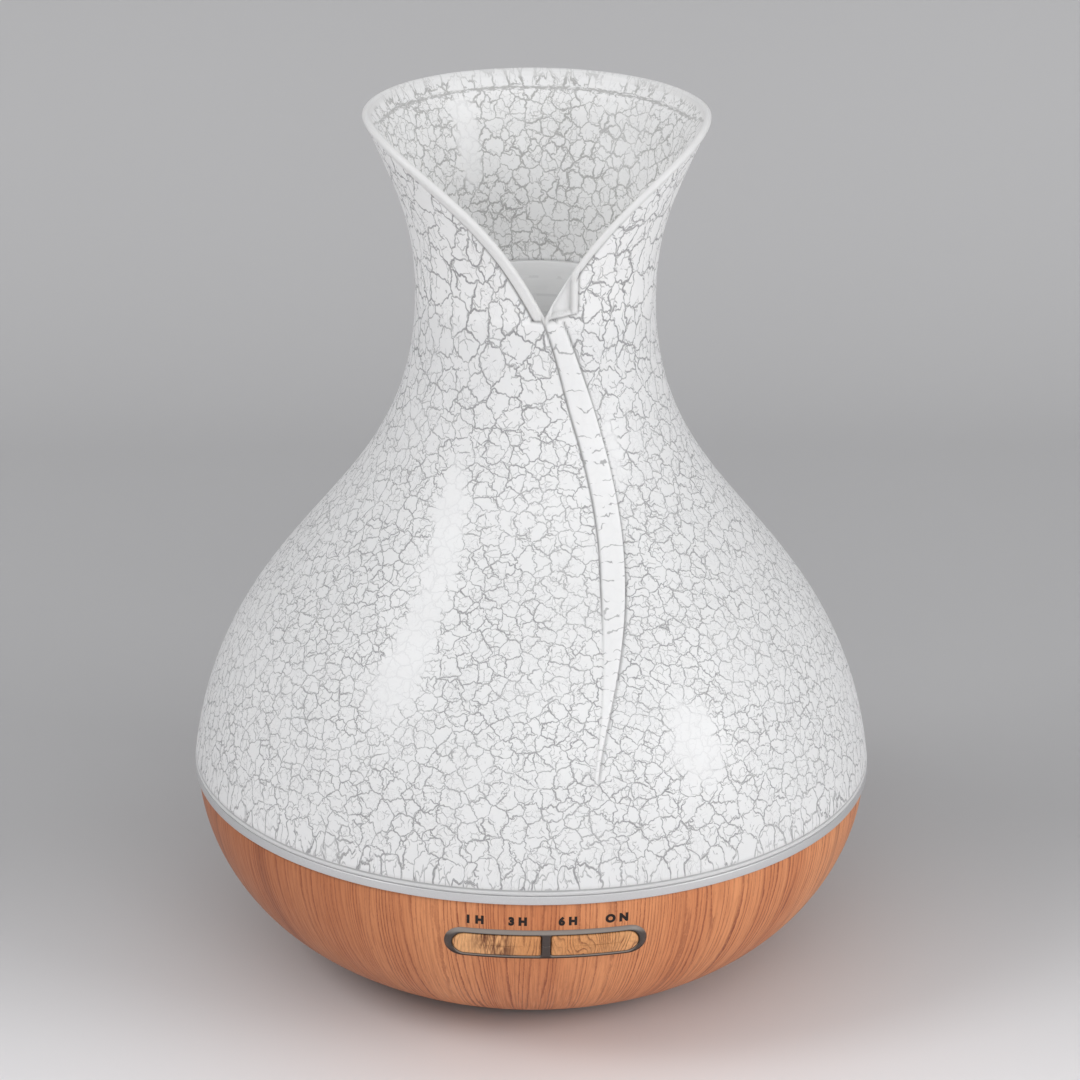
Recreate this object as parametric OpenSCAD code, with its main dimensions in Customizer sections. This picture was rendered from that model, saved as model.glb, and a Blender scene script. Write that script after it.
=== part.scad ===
// Ultrasonic aroma diffuser: a wood-look bowl base that holds the water tank and the
// electronics, a splash lid, and a tall vase-shaped cover with a wrap-collar mouth.
// Millimetres. Z = 0 is the table, the Z axis is the vase's axis, and the buttons face -Y.

/* [Base bowl] */
// Outer radius of the bowl at its top edge
bowl_r = 83; // [83:0.5:86]
// Height of the bowl's top edge above the table
bowl_top = 48.5; // [48.5:0.5:52]
// Wall thickness of the bowl
bowl_wall = 2.5; // [2:0.1:2.6]
// Height of the rubber feet below the bowl
foot_h = 2; // [1.5:0.5:2]

/* [Cover] */
// Height of the silver trim ring between bowl and cover
ring_h = 2.2; // [2:0.1:2.6]
// Outer radius of the cover at its bottom edge
cover_r = 84; // [84:0.5:88]
// Height of the cover from its bottom edge to the collar
cover_h = 164.2; // [150:1:180]
// Outer radius of the neck at its narrowest
neck_r = 28.9; // [27:0.1:32]
// Outer radius of the collar's rim
rim_r = 41.3; // [38:0.1:46]
// Wall thickness of the cover
cover_wall = 2.2; // [1.8:0.1:2.4]
// Depth of the V cut at the front of the collar
collar_drop = 41.9; // [30:0.1:46]
// Turn of the V away from the buttons, in degrees
collar_turn = 1.8; // [-10:0.1:10]

/* [Water tank] */
// Inner radius of the tank
tank_r = 66; // [64:0.5:66]
// Height of the tank's rim above the table
tank_top = 58; // [56:0.5:60]

/* [Buttons] */
// Outer width of the button bezel
bezel_w = 47.5; // [46:0.1:48]
// Outer height of the button bezel
bezel_h = 8.7; // [8.6:0.1:9.2]
// Travel of a button
button_travel = 0.6; // [0.4:0.1:0.6]

/* [Hidden] */
$fn = 96;
small_fn = 32;
steps = 18;
far = 120;
gap = 0.1;
bend_grow = 1.08;

// Bowl: foot rim, swelling side and top edge
floor_z = foot_h;
foot_r = 46;
bowl_line = [[foot_r, floor_z], [bowl_r - 3.82, 14.1], [bowl_r + 0.79, bowl_top - 6.2],
    [bowl_r, bowl_top]];
ledge_t = 0.05;
plate_r = 44.2;
plate_h = 2.5;
plate_top = floor_z + plate_h;
ledge_r = 42.8;
seat_z = bowl_top - 4;
seat_h = 2;
seat_r = 78.2;

// Cover: a long belly from the edge to the neck, then the flare of the collar
ring_top = bowl_top + ring_h;
cover_top = ring_top + cover_h;
neck_z = ring_top + cover_h * 0.7284;
belly_line = [[cover_r, ring_top], [cover_r - 6.9, ring_top + cover_h * 0.362],
    [neck_r, neck_z - cover_h * 0.333], [neck_r, neck_z]];
flare_line = [[neck_r, neck_z], [neck_r, neck_z + cover_h * 0.117],
    [neck_r + 4.9, cover_top - cover_h * 0.11], [rim_r, cover_top]];
collar_power = 2.15;
collar_half = 95;

// Water tank
tank_wall = 2;
tank_floor = 20;
tank_under = tank_floor - tank_wall;
tank_corner = 8;
channel_top = tank_top + 4;
channel_x = 22;
channel_size = [11, 22];
tank_boss = [30, 24.5];
boss_r = 3.5;
screw_r = 1.4;
head_r = 2.6;
head_h = 1.4;

// Transducer under the tank floor
mist_x = -17;
mist_hole_r = 8.5;
mist_boss_r = 16;
mist_cup_r = 11.2;
mist_cup_h = 4;
disc_r = 10;
disc_h = 1.2;
disc_z = tank_under - 1.9;
seal_z = tank_under - 3;
clamp_h = 1.5;
clamp_z = tank_under - mist_cup_h - clamp_h;
clamp_screw_at = 13.6;
clamp_screw_r = 1.1;

// Fan on the bottom plate
fan_x = 20;
fan_size = 40;
fan_h = 10;
fan_z = 6.5;
fan_bore_r = 18.5;
fan_pitch = 16;
fan_hub_r = 8.5;
fan_tip_r = 18;
fan_blades = 7;
shaft_r = 1;
bush_r = 2.2;
running_gap = 0.03;

// Main board on posts over the bottom plate
board_z = 8;
board_h = 1.6;
board_top = board_z + board_h;
board_size = [48, 22];
board_y = -33;
board_holes = [[-20, -26], [20, -26], [0, -40]];
plug_x = [-11, -1, 11];
plug_y = [-26.5, -22.5];
post_r = 2.8;

// Lighting boards: two arcs under the edge of the tank floor
led_r = [52, 59];
led_z = 14;
led_h = 1.2;
led_span = 60;
led_mid_r = (led_r[0] + led_r[1]) / 2;
led_count = 5;

// Button panel on the front of the bowl
panel_z = bowl_top - 11.7;
bezel_proud = 0.9;
bezel_lip = 0.4;
opening_w = bezel_w - 3.5;
opening_h = bezel_h - 2.3;
divider_w = 2;
button_gap = 0.2;
button_proud = 1;
button_w = (opening_w - divider_w) / 2 - 2 * button_gap;
button_h = opening_h - 2 * button_gap;
button_x = (divider_w + button_w) / 2 + button_gap;
flange_depth = [2.8, 3.8];
flange_rim = 1;
pcb_back = -69;
pcb_h = 1.4;
pcb_front = pcb_back - pcb_h;
pcb_size = [56, 13];
switch_h = 3.5;
switch_size = 6;
plunger_r = 1.7;
plunger_out = 1;
plunger_in = 1;
pcb_screw_x = 25.5;
label_x = [-16.5, -6.7, 5, 16.8];

// Power inlet at the back
jack_z = 11.5;
jack_y = [36, 50];
jack_w = 9;
jack_bore_r = 3;
jack_pin_r = 1.05;
jack_pin_len = 8;
tunnel_r = 4.8;
tunnel_wall = 1.4;

// Splash lid
lid_wall = 1.8;
lid_r = tank_r + 4;
chimney_r = 18;
chimney_top = 112;
dome_line = [[tank_r, tank_top + 2], [50, tank_top + 8], [24, tank_top + 12],
    [chimney_r, tank_top + 28]];

// ---------- Geometry helpers ----------

function bezier(p, t) = pow(1 - t, 3) * p[0] + 3 * pow(1 - t, 2) * t * p[1]
    + 3 * (1 - t) * t * t * p[2] + pow(t, 3) * p[3];
function slope(p, t) = pow(1 - t, 2) * (p[1] - p[0]) + 2 * (1 - t) * t * (p[2] - p[1])
    + t * t * (p[3] - p[2]);

// A point of the curve moved outward by d, for a curve that runs upward
function beside(p, t, d) = let (s = slope(p, t)) bezier(p, t) + d * [s.y, -s.x] / norm(s);
function curve(p, d, from = 0, to = 1, n = steps) =
    [for (i = [0:n]) beside(p, from + (to - from) * i / n, d)];
function reversed(list) = [for (i = [len(list) - 1:-1:0]) list[i]];
function tail(list) = [for (i = [1:len(list) - 1]) list[i]];
function between(list, low, high) = [for (p = list) [p.x, min(max(p.y, low), high)]];

// The cover's line at distance d outside its outer surface, from bottom to rim
function cover_curve(d) =
    between(concat(curve(belly_line, d), tail(curve(flare_line, d))), ring_top, cover_top);

// Height of the collar's edge at an angle away from the V, and its radius there
function collar_z(a) = cover_top - collar_drop * pow(max(0, 1 - abs(a) / collar_half), collar_power);
function collar_r(z) = let (s = (z - neck_z) / (cover_top - neck_z))
    neck_r + (rim_r - neck_r) * pow(max(0, s), 1.9);

module turned(points) {
    rotate_extrude() polygon(points);
}

module ring(r_out, r_in, h) {
    difference() {
        cylinder(r = r_out, h = h);
        translate([0, 0, -1]) cylinder(r = r_in, h = h + 2);
    }
}

// Material of a revolved wall between two distances from the bowl's outer surface
module bowl_layer(d_in, d_out) {
    turned(concat(curve(bowl_line, d_out, 0.6, 1, 8), reversed(curve(bowl_line, d_in, 0.6, 1, 8))));
}

// The whole inside of the bowl, up to a distance from its outer surface
module bowl_solid(d) {
    side = curve(bowl_line, d);
    turned(concat([[0, side[0].y]], side, [[0, side[steps].y]]));
}

// A bar with round ends along X, extruded along Y
module oblong(w, h, y0, y1) {
    translate([0, y1, 0]) rotate([90, 0, 0]) linear_extrude(y1 - y0) {
        square([w - h, h], center = true);
        for (side = [-1, 1])
            translate([side * (w - h) / 2, 0]) circle(d = h, $fn = small_fn);
    }
}

// A button's outline: square at the divider and round at the outer end
module button_prism(w, h, y0, y1) {
    translate([0, y1, 0]) rotate([90, 0, 0]) linear_extrude(y1 - y0) {
        translate([-w / 2, -h / 2]) square([w - h / 2, h]);
        translate([w / 2 - h / 2, 0]) circle(d = h, $fn = small_fn);
    }
}

module rounded_plate(size, r, h) {
    linear_extrude(h) {
        square([size.x - 2 * r, size.y], center = true);
        square([size.x, size.y - 2 * r], center = true);
        for (x = [-1, 1], y = [-1, 1])
            translate([x * (size.x / 2 - r), y * (size.y / 2 - r)]) circle(r, $fn = small_fn);
    }
}

// A round wire through a list of points, with a slightly thicker ball at each bend
module wire(points, r) {
    for (i = [0:len(points) - 2]) {
        v = points[i + 1] - points[i];
        translate(points[i]) rotate([0, acos(v.z / norm(v)), atan2(v.y, v.x)])
            cylinder(r = r, h = norm(v), $fn = small_fn);
    }
    for (i = [1:1:len(points) - 2]) translate(points[i]) sphere(r * bend_grow, $fn = small_fn);
}

// A pan-head screw whose head's underside is at the origin, shank pointing down
module screw(r, length, head = head_r, head_height = head_h) {
    difference() {
        cylinder(r = head, h = head_height, $fn = small_fn);
        for (a = [0, 90])
            rotate([0, 0, a]) translate([-head * 0.6, -0.3, head_height / 2])
                cube([head * 1.2, 0.6, 2]);
    }
    translate([0, 0, -length]) cylinder(r = r, h = length, $fn = small_fn);
}

module at_tank_bosses() {
    for (x = [-1, 1], y = [-1, 1]) translate([x * tank_boss.x, y * tank_boss.y, 0]) children();
}

module at_led_bosses() {
    for (side = [0, 180], a = [-40, 40])
        rotate([0, 0, side + a]) translate([led_mid_r, 0, 0]) children();
}

module at_clamp_screws() {
    for (a = [60:120:300]) translate([mist_x, 0, 0]) rotate([0, 0, a])
        translate([clamp_screw_at, 0, 0]) children();
}

module at_fan_corners() {
    for (x = [-1, 1], y = [-1, 1])
        translate([fan_x + x * fan_pitch, y * fan_pitch, 0]) children();
}

// ---------- Base: casings ----------

module base_shell() {
    inner = curve(bowl_line, -bowl_wall, ledge_t, 1);
    color("peru") difference() {
        union() {
            turned(concat([[plate_r + 0.2, floor_z]], curve(bowl_line, 0),
                [[bowl_r - bowl_wall, bowl_top]], reversed(inner),
                [[ledge_r, inner[0].y], [ledge_r, plate_top], [plate_r + 0.2, plate_top]]));
            translate([0, 0, seat_z]) ring(bowl_r - 1.2, seat_r, seat_h);
            intersection() {
                bowl_solid(-1);
                for (x = [-1, 1]) translate([x * pcb_screw_x, pcb_front, panel_z])
                    rotate([90, 0, 0]) cylinder(r = 2.4, h = 12, $fn = small_fn);
            }
            intersection() {
                bowl_solid(-0.5);
                translate([0, jack_y[1], jack_z]) rotate([-90, 0, 0])
                    cylinder(r = tunnel_r + tunnel_wall, h = 30);
            }
        }
        translate([0, 0, panel_z]) oblong(bezel_w - 1, bezel_h - 1, -far, -70);
        translate([0, jack_y[1] - 1, jack_z]) rotate([-90, 0, 0]) cylinder(r = tunnel_r, h = 40);
        for (x = [-1, 1]) translate([x * pcb_screw_x, pcb_front + 1, panel_z])
            rotate([90, 0, 0]) cylinder(r = 0.8, h = 4.4, $fn = small_fn);
    }
}

// Silver ring on the bowl's edge, with the collar that centres the cover
module trim_ring() {
    color("silver") translate([0, 0, bowl_top]) {
        ring(cover_r, 76, ring_h);
        ring(cover_r - cover_wall - 0.6, cover_r - cover_wall - 2.4, ring_h + 3);
    }
}

module bottom_plate() {
    color("dimgray") difference() {
        union() {
            translate([0, 0, floor_z]) cylinder(r = plate_r, h = plate_h);
            for (p = board_holes)
                translate([p.x, p.y, plate_top]) cylinder(r = post_r, h = board_z - plate_top);
            at_fan_corners() translate([0, 0, plate_top]) cylinder(r = 3, h = fan_z - plate_top);
            translate([-jack_w / 2 - 1.5, jack_y[0], plate_top])
                cube([jack_w + 3, 5, jack_z - jack_w / 2 - plate_top]);
            for (x = [-jack_w / 2 - 1.5, jack_w / 2 + gap])
                translate([x, jack_y[0], plate_top]) cube([1.4, 5, 8]);
        }
        for (y = [-14:3.5:14]) {
            half = sqrt(pow(fan_bore_r - 3, 2) - y * y);
            translate([fan_x, y, 0]) rounded_plate([2 * half, 1.8], 0.85, far / 10);
        }
        at_tank_bosses() cylinder(r = screw_r + 0.2, h = far, $fn = small_fn);
        at_tank_bosses() translate([0, 0, floor_z - 1])
            cylinder(r = head_r + 0.2, h = head_h + 1, $fn = small_fn);
        for (p = board_holes)
            translate([p.x, p.y, floor_z + 1]) cylinder(r = 0.95, h = far, $fn = small_fn);
        at_fan_corners() translate([0, 0, floor_z + 1])
            cylinder(r = 1.15, h = far, $fn = small_fn);
    }
}

module rubber_feet() {
    color("black") at_tank_bosses() cylinder(r = 5, h = foot_h);
}

module bottom_screws() {
    color("silver") at_tank_bosses() translate([0, 0, floor_z + head_h]) mirror([0, 0, 1])
        screw(screw_r - 0.1, tank_under - floor_z - head_h - 2);
}

// ---------- Base: water tank and mist unit ----------

module tank_basin() {
    bend = [for (i = [0:6]) let (a = 90 * i / 6) [sin(a), 1 - cos(a)]];
    centre_r = tank_r - tank_corner;
    corner_out = tank_corner + tank_wall;
    turned(concat([[0, tank_under]],
        [for (p = bend) [centre_r + corner_out * p.x, tank_under + corner_out * p.y]],
        [[tank_r + tank_wall, bowl_top - 2], [bowl_r - bowl_wall - 0.3, bowl_top - 2],
         [bowl_r - bowl_wall - 0.3, bowl_top], [tank_r + tank_wall, bowl_top],
         [tank_r + tank_wall, tank_top], [tank_r, tank_top]],
        reversed([for (p = bend) [centre_r + tank_corner * p.x, tank_floor + tank_corner * p.y]]),
        [[0, tank_floor]]));
}

// The air channel that carries the fan's air up past the water
module air_channel(grow, top) {
    translate([channel_x - grow, -channel_size.y / 2 - grow, tank_under - 1])
        cube([channel_size.x + 2 * grow, channel_size.y + 2 * grow, top - tank_under + 1]);
}

module water_tank() {
    color("whitesmoke") difference() {
        union() {
            tank_basin();
            intersection() {
                air_channel(tank_wall, channel_top);
                translate([0, 0, tank_under]) cylinder(r = far, h = far);
            }
            at_tank_bosses() translate([0, 0, plate_top])
                cylinder(r = boss_r, h = tank_floor - plate_top);
            at_led_bosses() translate([0, 0, led_z + led_h]) cylinder(r = 2.4, h = tank_wall + 1.8);
            translate([mist_x, 0, tank_under - mist_cup_h])
                cylinder(r = mist_boss_r, h = mist_cup_h + 1);
        }
        air_channel(0, channel_top - tank_wall);
        translate([channel_x - 3, -9, tank_top - 6]) cube([4, 18, 7]);
        at_tank_bosses() cylinder(r = screw_r, h = tank_under - 0.5, $fn = small_fn);
        at_led_bosses() cylinder(r = 0.9, h = tank_under + 0.5, $fn = small_fn);
        translate([mist_x, 0, 0]) cylinder(r = mist_cup_r, h = tank_under);
        translate([mist_x, 0, 0]) cylinder(r = mist_hole_r, h = far);
        at_clamp_screws() cylinder(r = clamp_screw_r, h = tank_under, $fn = small_fn);
    }
}

module transducer_disc() {
    color("silver") translate([mist_x, 0, disc_z]) cylinder(r = disc_r, h = disc_h);
}

// Silicone ring with a groove that holds the disc's edge
module transducer_seal() {
    color("white") translate([mist_x, 0, 0]) difference() {
        translate([0, 0, seal_z]) ring(mist_cup_r - gap, disc_r - 1.5, tank_under - seal_z);
        translate([0, 0, disc_z]) cylinder(r = disc_r, h = disc_h);
    }
}

module transducer_clamp() {
    color("lightgray") difference() {
        translate([mist_x, 0, clamp_z]) union() {
            ring(mist_boss_r, 6, clamp_h);
            ring(mist_cup_r - 2 * gap, disc_r - 1.5, seal_z - clamp_z);
        }
        at_clamp_screws() translate([0, 0, clamp_z - 1])
            cylinder(r = clamp_screw_r + gap, h = 9, $fn = small_fn);
    }
}

module clamp_screws() {
    color("silver") at_clamp_screws() translate([0, 0, clamp_z]) mirror([0, 0, 1])
        screw(clamp_screw_r - gap, 4.5, 1.9, 1.2);
}

module transducer_wires() {
    color("red") for (side = [-1, 1]) wire([[mist_x + side * 3, 0, disc_z],
        [mist_x + side * 3, 0, disc_z - 2.4], [mist_x + side * 2, -4, 9.5],
        [plug_x[0] + side, plug_y[1] + 1.6, 10.9], [plug_x[0] + side, plug_y[1], 10.9]], 0.6);
}

// ---------- Base: electronics ----------

module main_board() {
    color("darkgreen") difference() {
        translate([0, board_y, board_z]) rounded_plate(board_size, 1, board_h);
        for (p = board_holes) translate([p.x, p.y, 0]) cylinder(r = 1.1, h = far, $fn = small_fn);
    }
}

module board_screws() {
    color("silver") for (p = board_holes)
        translate([p.x, p.y, board_top]) screw(0.85, board_top - floor_z - 1.5, 2.2, 1.2);
}

module capacitors() {
    color("midnightblue") for (x = [-4.5, 3.5])
        translate([x, -31.3, board_top]) cylinder(r = 3.15, h = 7, $fn = small_fn);
}

// Drum-core choke: two flanges and the winding between them
module coil() {
    color("darkorange") translate([-16, -37.2, board_top]) {
        cylinder(r = 5, h = 1);
        translate([0, 0, 1]) cylinder(r = 4.2, h = 3.6);
        translate([0, 0, 4.6]) cylinder(r = 5, h = 1);
    }
}

module driver_chips() {
    color("black") translate([0, 0, board_top]) {
        translate([10, -36, 0]) cube([10, 2.5, 6.4]);
        translate([8.5, -32.2, 0]) cube([7, 3.6, 1.5]);
    }
}

module connectors() {
    color("ivory") for (x = plug_x)
        translate([x - 3, plug_y[0], board_top]) cube([6, plug_y[1] - plug_y[0], 4.6]);
}

module heat_sink() {
    color("silver") translate([8, -43, board_top]) {
        translate([0, 5.4, 0]) cube([14, 1.6, 7]);
        for (i = [0:4]) translate([i * 3.1, 0, 0]) cube([1.6, 5.5, 7]);
    }
}

// ---------- Base: fan ----------

module fan_housing() {
    color("dimgray") translate([fan_x, 0, fan_z]) difference() {
        union() {
            difference() {
                rounded_plate([fan_size, fan_size], 3, fan_h);
                translate([0, 0, -1]) cylinder(r = fan_bore_r, h = fan_h + 2);
            }
            cylinder(r = fan_hub_r, h = 1.5);
            for (a = [30:120:270]) rotate([0, 0, a])
                translate([5, -1, 0]) cube([fan_bore_r - 4.8, 2, 1.5]);
            cylinder(r = bush_r + 0.6, h = 7);
        }
        translate([0, 0, 1.5]) cylinder(r = bush_r, h = fan_h);
        for (x = [-1, 1], y = [-1, 1]) translate([x * fan_pitch, y * fan_pitch, -1])
            cylinder(r = 1.5, h = fan_h + 2, $fn = small_fn);
    }
}

// Four wound poles round the bearing tube
module fan_stator() {
    color("sienna") translate([fan_x, 0, fan_z + 2]) {
        ring(4, bush_r + 0.6, 4);
        for (a = [0:90:270]) rotate([0, 0, a]) {
            translate([3.8, -1.5, 0]) cube([2, 3, 4]);
            translate([5.6, -2.2, 0]) cube([0.9, 4.4, 4]);
        }
    }
}

module fan_bearing() {
    color("goldenrod") translate([fan_x, 0, fan_z + 1.9]) ring(bush_r, shaft_r + running_gap, 5);
}

module fan_screws() {
    color("silver") at_fan_corners()
        translate([0, 0, fan_z + fan_h]) screw(1.05, fan_h + fan_z - floor_z - 1.4, 2.3, 1.2);
}

module fan_gasket() {
    color("gray") translate([fan_x, 0, fan_z + fan_h])
        ring(19.6, 17.6, tank_under - fan_z - fan_h);
}

module fan_wires() {
    color("black") for (x = [plug_x[2] - 0.8, plug_x[2] + 0.8])
        wire([[x, -fan_size / 2, 11.4], [x, plug_y[1], 11.4]], 0.55);
}

module fan_rotor() {
    color("black") translate([fan_x, 0, fan_z + 2]) {
        difference() {
            cylinder(r = fan_hub_r, h = 7.2);
            translate([0, 0, -1]) cylinder(r = fan_hub_r - 1.2, h = 6.8);
            translate([0, 0, -1]) cylinder(r = shaft_r, h = 7.7);
        }
        intersection() {
            translate([0, 0, 0.4]) ring(fan_tip_r, fan_hub_r - 0.5, 6.6);
            for (i = [0:fan_blades - 1]) rotate([0, 0, i * 360 / fan_blades])
                translate([fan_hub_r - 0.5, 0, 3.7]) rotate([38, 0, 0])
                    translate([0, -5.5, -0.5]) cube([11, 11, 1]);
        }
    }
}

module fan_shaft() {
    color("silver") translate([fan_x, 0, fan_z + 2]) cylinder(r = shaft_r, h = 6.7);
}

// ---------- Base: lighting ----------

module led_boards() {
    color("white") difference() {
        translate([0, 0, led_z]) ring(led_r[1], led_r[0], led_h);
        for (side = [0, 180]) rotate([0, 0, side]) translate([0, 0, led_z - 1])
            linear_extrude(led_h + 2) polygon([[0, 0],
                far * [cos(led_span), sin(led_span)], [0, 2 * far],
                far * [-cos(led_span), sin(led_span)]]);
        at_led_bosses() cylinder(r = 1.1, h = far, $fn = small_fn);
    }
}

module leds() {
    color("lightyellow") for (side = [0, 180], i = [0:led_count - 1]) {
        a = side + (i - (led_count - 1) / 2) * 25;
        rotate([0, 0, a]) translate([led_mid_r - 1.4, -1.75, led_z + led_h]) cube([2.8, 3.5, 1.9]);
    }
}

module led_board_screws() {
    color("silver") at_led_bosses() translate([0, 0, led_z]) mirror([0, 0, 1])
        screw(0.8, 4, 1.9, 1.2);
}

module led_wires() {
    end_x = board_size.x / 2 - 1.5;
    color("yellow") for (side = [-1, 1]) wire([[side * 44, -32, led_z],
        [side * 44, -32, led_z - 1.8], [side * end_x, -32, board_top + 1.8],
        [side * end_x, -32, board_top]], 0.55);
}

// ---------- Base: control board and buttons ----------

module control_board() {
    color("darkgreen") difference() {
        translate([0, pcb_back, panel_z]) rotate([90, 0, 0]) rounded_plate(pcb_size, 1, pcb_h);
        for (x = [-1, 1]) translate([x * pcb_screw_x, pcb_back + 1, panel_z])
            rotate([90, 0, 0]) cylinder(r = 1, h = pcb_h + 2, $fn = small_fn);
    }
}

module control_board_screws() {
    color("silver") for (x = [-1, 1])
        translate([x * pcb_screw_x, pcb_back, panel_z]) rotate([-90, 0, 0]) screw(0.75, 4, 1.7, 1);
}

module switch_bodies() {
    bore_in = plunger_in + button_travel + 2 * gap;
    color("black") for (x = [-1, 1]) difference() {
        translate([x * button_x - switch_size / 2, pcb_front - switch_h, panel_z - switch_size / 2])
            cube([switch_size, switch_h, switch_size]);
        translate([x * button_x, pcb_front - switch_h + bore_in, panel_z]) rotate([90, 0, 0])
            cylinder(r = plunger_r + gap, h = switch_h, $fn = small_fn);
    }
}

module timer_leds() {
    color("lightblue") for (x = label_x)
        translate([x - 0.8, pcb_front - 0.7, panel_z + 4.7]) cube([1.6, 0.7, 0.9]);
}

// Flat cable from the control board down past the tank to the main board
module control_ribbon() {
    path = [[pcb_back - 0.3, panel_z - pcb_size.y / 2], [pcb_back - 0.3, 24.2], [-63, 17],
        [-50, 10.9], [board_y - board_size.y / 2 + 1, board_top + 0.35]];
    thick = 0.6;
    color("lightgray") for (i = [0:len(path) - 2]) {
        v = path[i + 1] - path[i];
        translate([0, path[i].x, path[i].y]) rotate([atan2(v.y, v.x), 0, 0])
            translate([-4, 0, -thick / 2]) cube([8, norm(v), thick]);
        if (i > 0) translate([-4, path[i].x, path[i].y]) rotate([0, 90, 0])
            cylinder(d = thick * bend_grow, h = 8, $fn = 16);
    }
}

module button_bezel() {
    color("dimgray") translate([0, 0, panel_z]) difference() {
        union() {
            intersection() {
                oblong(bezel_w, bezel_h, -far, -60);
                translate([0, 0, -panel_z]) bowl_layer(gap / 5, bezel_lip);
            }
            intersection() {
                oblong(bezel_w - 1.2, bezel_h - 1.2, -far, -60);
                translate([0, 0, -panel_z]) bowl_layer(-bowl_wall, bezel_proud);
            }
        }
        for (side = [0, 1]) mirror([side, 0, 0]) translate([button_x, 0, 0])
            button_prism(button_w + 2 * button_gap, button_h + 2 * button_gap, -far, -60);
    }
}

// One rocker pad: cap, retaining bar behind the bowl's wall, and stem to the switch
module button_pad() {
    plunger_tip = pcb_front - switch_h - plunger_out;
    bar_w = button_w - 2 * flange_rim;
    bar_h = button_h + 2 * flange_rim;
    middle = (flange_depth[0] + flange_depth[1]) / 2;
    intersection() {
        translate([button_x, 0, panel_z]) button_prism(button_w, button_h, -far, -60);
        bowl_layer(-middle, button_proud);
    }
    intersection() {
        translate([button_x - bar_w / 2, -far, panel_z - bar_h / 2]) cube([bar_w, 60, bar_h]);
        bowl_layer(-flange_depth[1], -flange_depth[0]);
    }
    intersection() {
        translate([button_x, plunger_tip, panel_z]) rotate([90, 0, 0])
            cylinder(r = 1.4, h = 12, $fn = small_fn);
        bowl_solid(-middle);
    }
}

module switch_plunger() {
    translate([button_x, pcb_front - switch_h + plunger_in, panel_z]) rotate([90, 0, 0])
        cylinder(r = plunger_r, h = plunger_out + plunger_in, $fn = small_fn);
}

module mist_button() {
    color("peru") mirror([1, 0, 0]) button_pad();
}

module mist_plunger() {
    color("black") mirror([1, 0, 0]) switch_plunger();
}

module light_button() {
    color("peru") button_pad();
}

module light_plunger() {
    color("black") switch_plunger();
}

// ---------- Base: power inlet ----------

module dc_jack() {
    color("black") translate([0, 0, jack_z]) difference() {
        translate([-jack_w / 2, jack_y[0], -jack_w / 2])
            cube([jack_w, jack_y[1] - jack_y[0], jack_w]);
        translate([0, jack_y[1] - jack_pin_len - 1, 0]) rotate([-90, 0, 0])
            cylinder(r = jack_bore_r, h = far, $fn = 48);
    }
}

module dc_jack_pin() {
    color("silver") translate([0, jack_y[1] - jack_pin_len - 1, jack_z]) rotate([-90, 0, 0])
        cylinder(r = jack_pin_r, h = jack_pin_len, $fn = 48);
}

module jack_wires() {
    lane_x = -3;
    color("firebrick") for (side = [-1, 1]) wire([[side * 1.6, jack_y[0], 10.4],
        [side * 1.6, jack_y[0] - 2, 10.4], [lane_x + side * 1.2, jack_y[0] - 7, 8],
        [lane_x + side * 1.2, -15, 8], [plug_x[1] + side * 1.2, plug_y[1] + 1.8, 11.4],
        [plug_x[1] + side * 1.2, plug_y[1], 11.4]], 0.8);
}

// ---------- Lid and cover ----------

// Splash lid: skirt over the tank's rim, domed roof and mist chimney
module inner_lid() {
    color("white") turned(concat(
        [[lid_r, tank_top - 5], [lid_r, tank_top + 1], [lid_r - 1, tank_top + 2]],
        curve(dome_line, 0), [[chimney_r, chimney_top], [chimney_r - lid_wall, chimney_top]],
        reversed(curve(dome_line, -lid_wall)),
        [[tank_r + 1, tank_top], [tank_r + tank_wall + 0.4, tank_top],
         [tank_r + tank_wall + 0.4, tank_top - 5]]));
}

module cover() {
    edge = [for (a = [-90:10:90]) [collar_r(collar_z(a)) * sin(a), collar_z(a)]];
    color("whitesmoke") difference() {
        turned(concat(cover_curve(0), reversed(cover_curve(-cover_wall))));
        rotate([0, 0, collar_turn + 90]) rotate([90, 0, -90]) linear_extrude(far)
            polygon(concat(edge, [[far, cover_top], [far, 2 * far], [-far, 2 * far],
                [-far, cover_top]]));
    }
}

// Sleeve inside the neck that guides the mist
module neck_liner() {
    wall = 1.4;
    outer = curve(belly_line, -cover_wall - gap, 0.74, 1);
    inner = curve(belly_line, -cover_wall - gap - wall, 0.74, 1);
    color("gray") turned(concat(outer, reversed(inner)));
}

base_shell();
trim_ring();
bottom_plate();
rubber_feet();
bottom_screws();
water_tank();
transducer_disc();
transducer_seal();
transducer_clamp();
clamp_screws();
transducer_wires();
main_board();
board_screws();
capacitors();
coil();
driver_chips();
connectors();
heat_sink();
fan_housing();
fan_stator();
fan_bearing();
fan_screws();
fan_gasket();
fan_wires();
led_boards();
leds();
led_board_screws();
led_wires();
control_board();
control_board_screws();
switch_bodies();
timer_leds();
control_ribbon();
button_bezel();
dc_jack();
dc_jack_pin();
jack_wires();
fan_rotor();
fan_shaft();
mist_button();
mist_plunger();
light_button();
light_plunger();
inner_lid();
cover();
neck_liner();
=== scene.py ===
"""Looks of a tabletop aroma diffuser: crackle-painted vase cover on a wood-grain bowl.

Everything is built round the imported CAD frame. Shapes are worked out in millimetres in the
row frame (Z up, buttons towards -Y) and handed to Blender in metres.
"""
import math

import bmesh
import bpy
import numpy as np
from mathutils import Matrix, Vector


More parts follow.
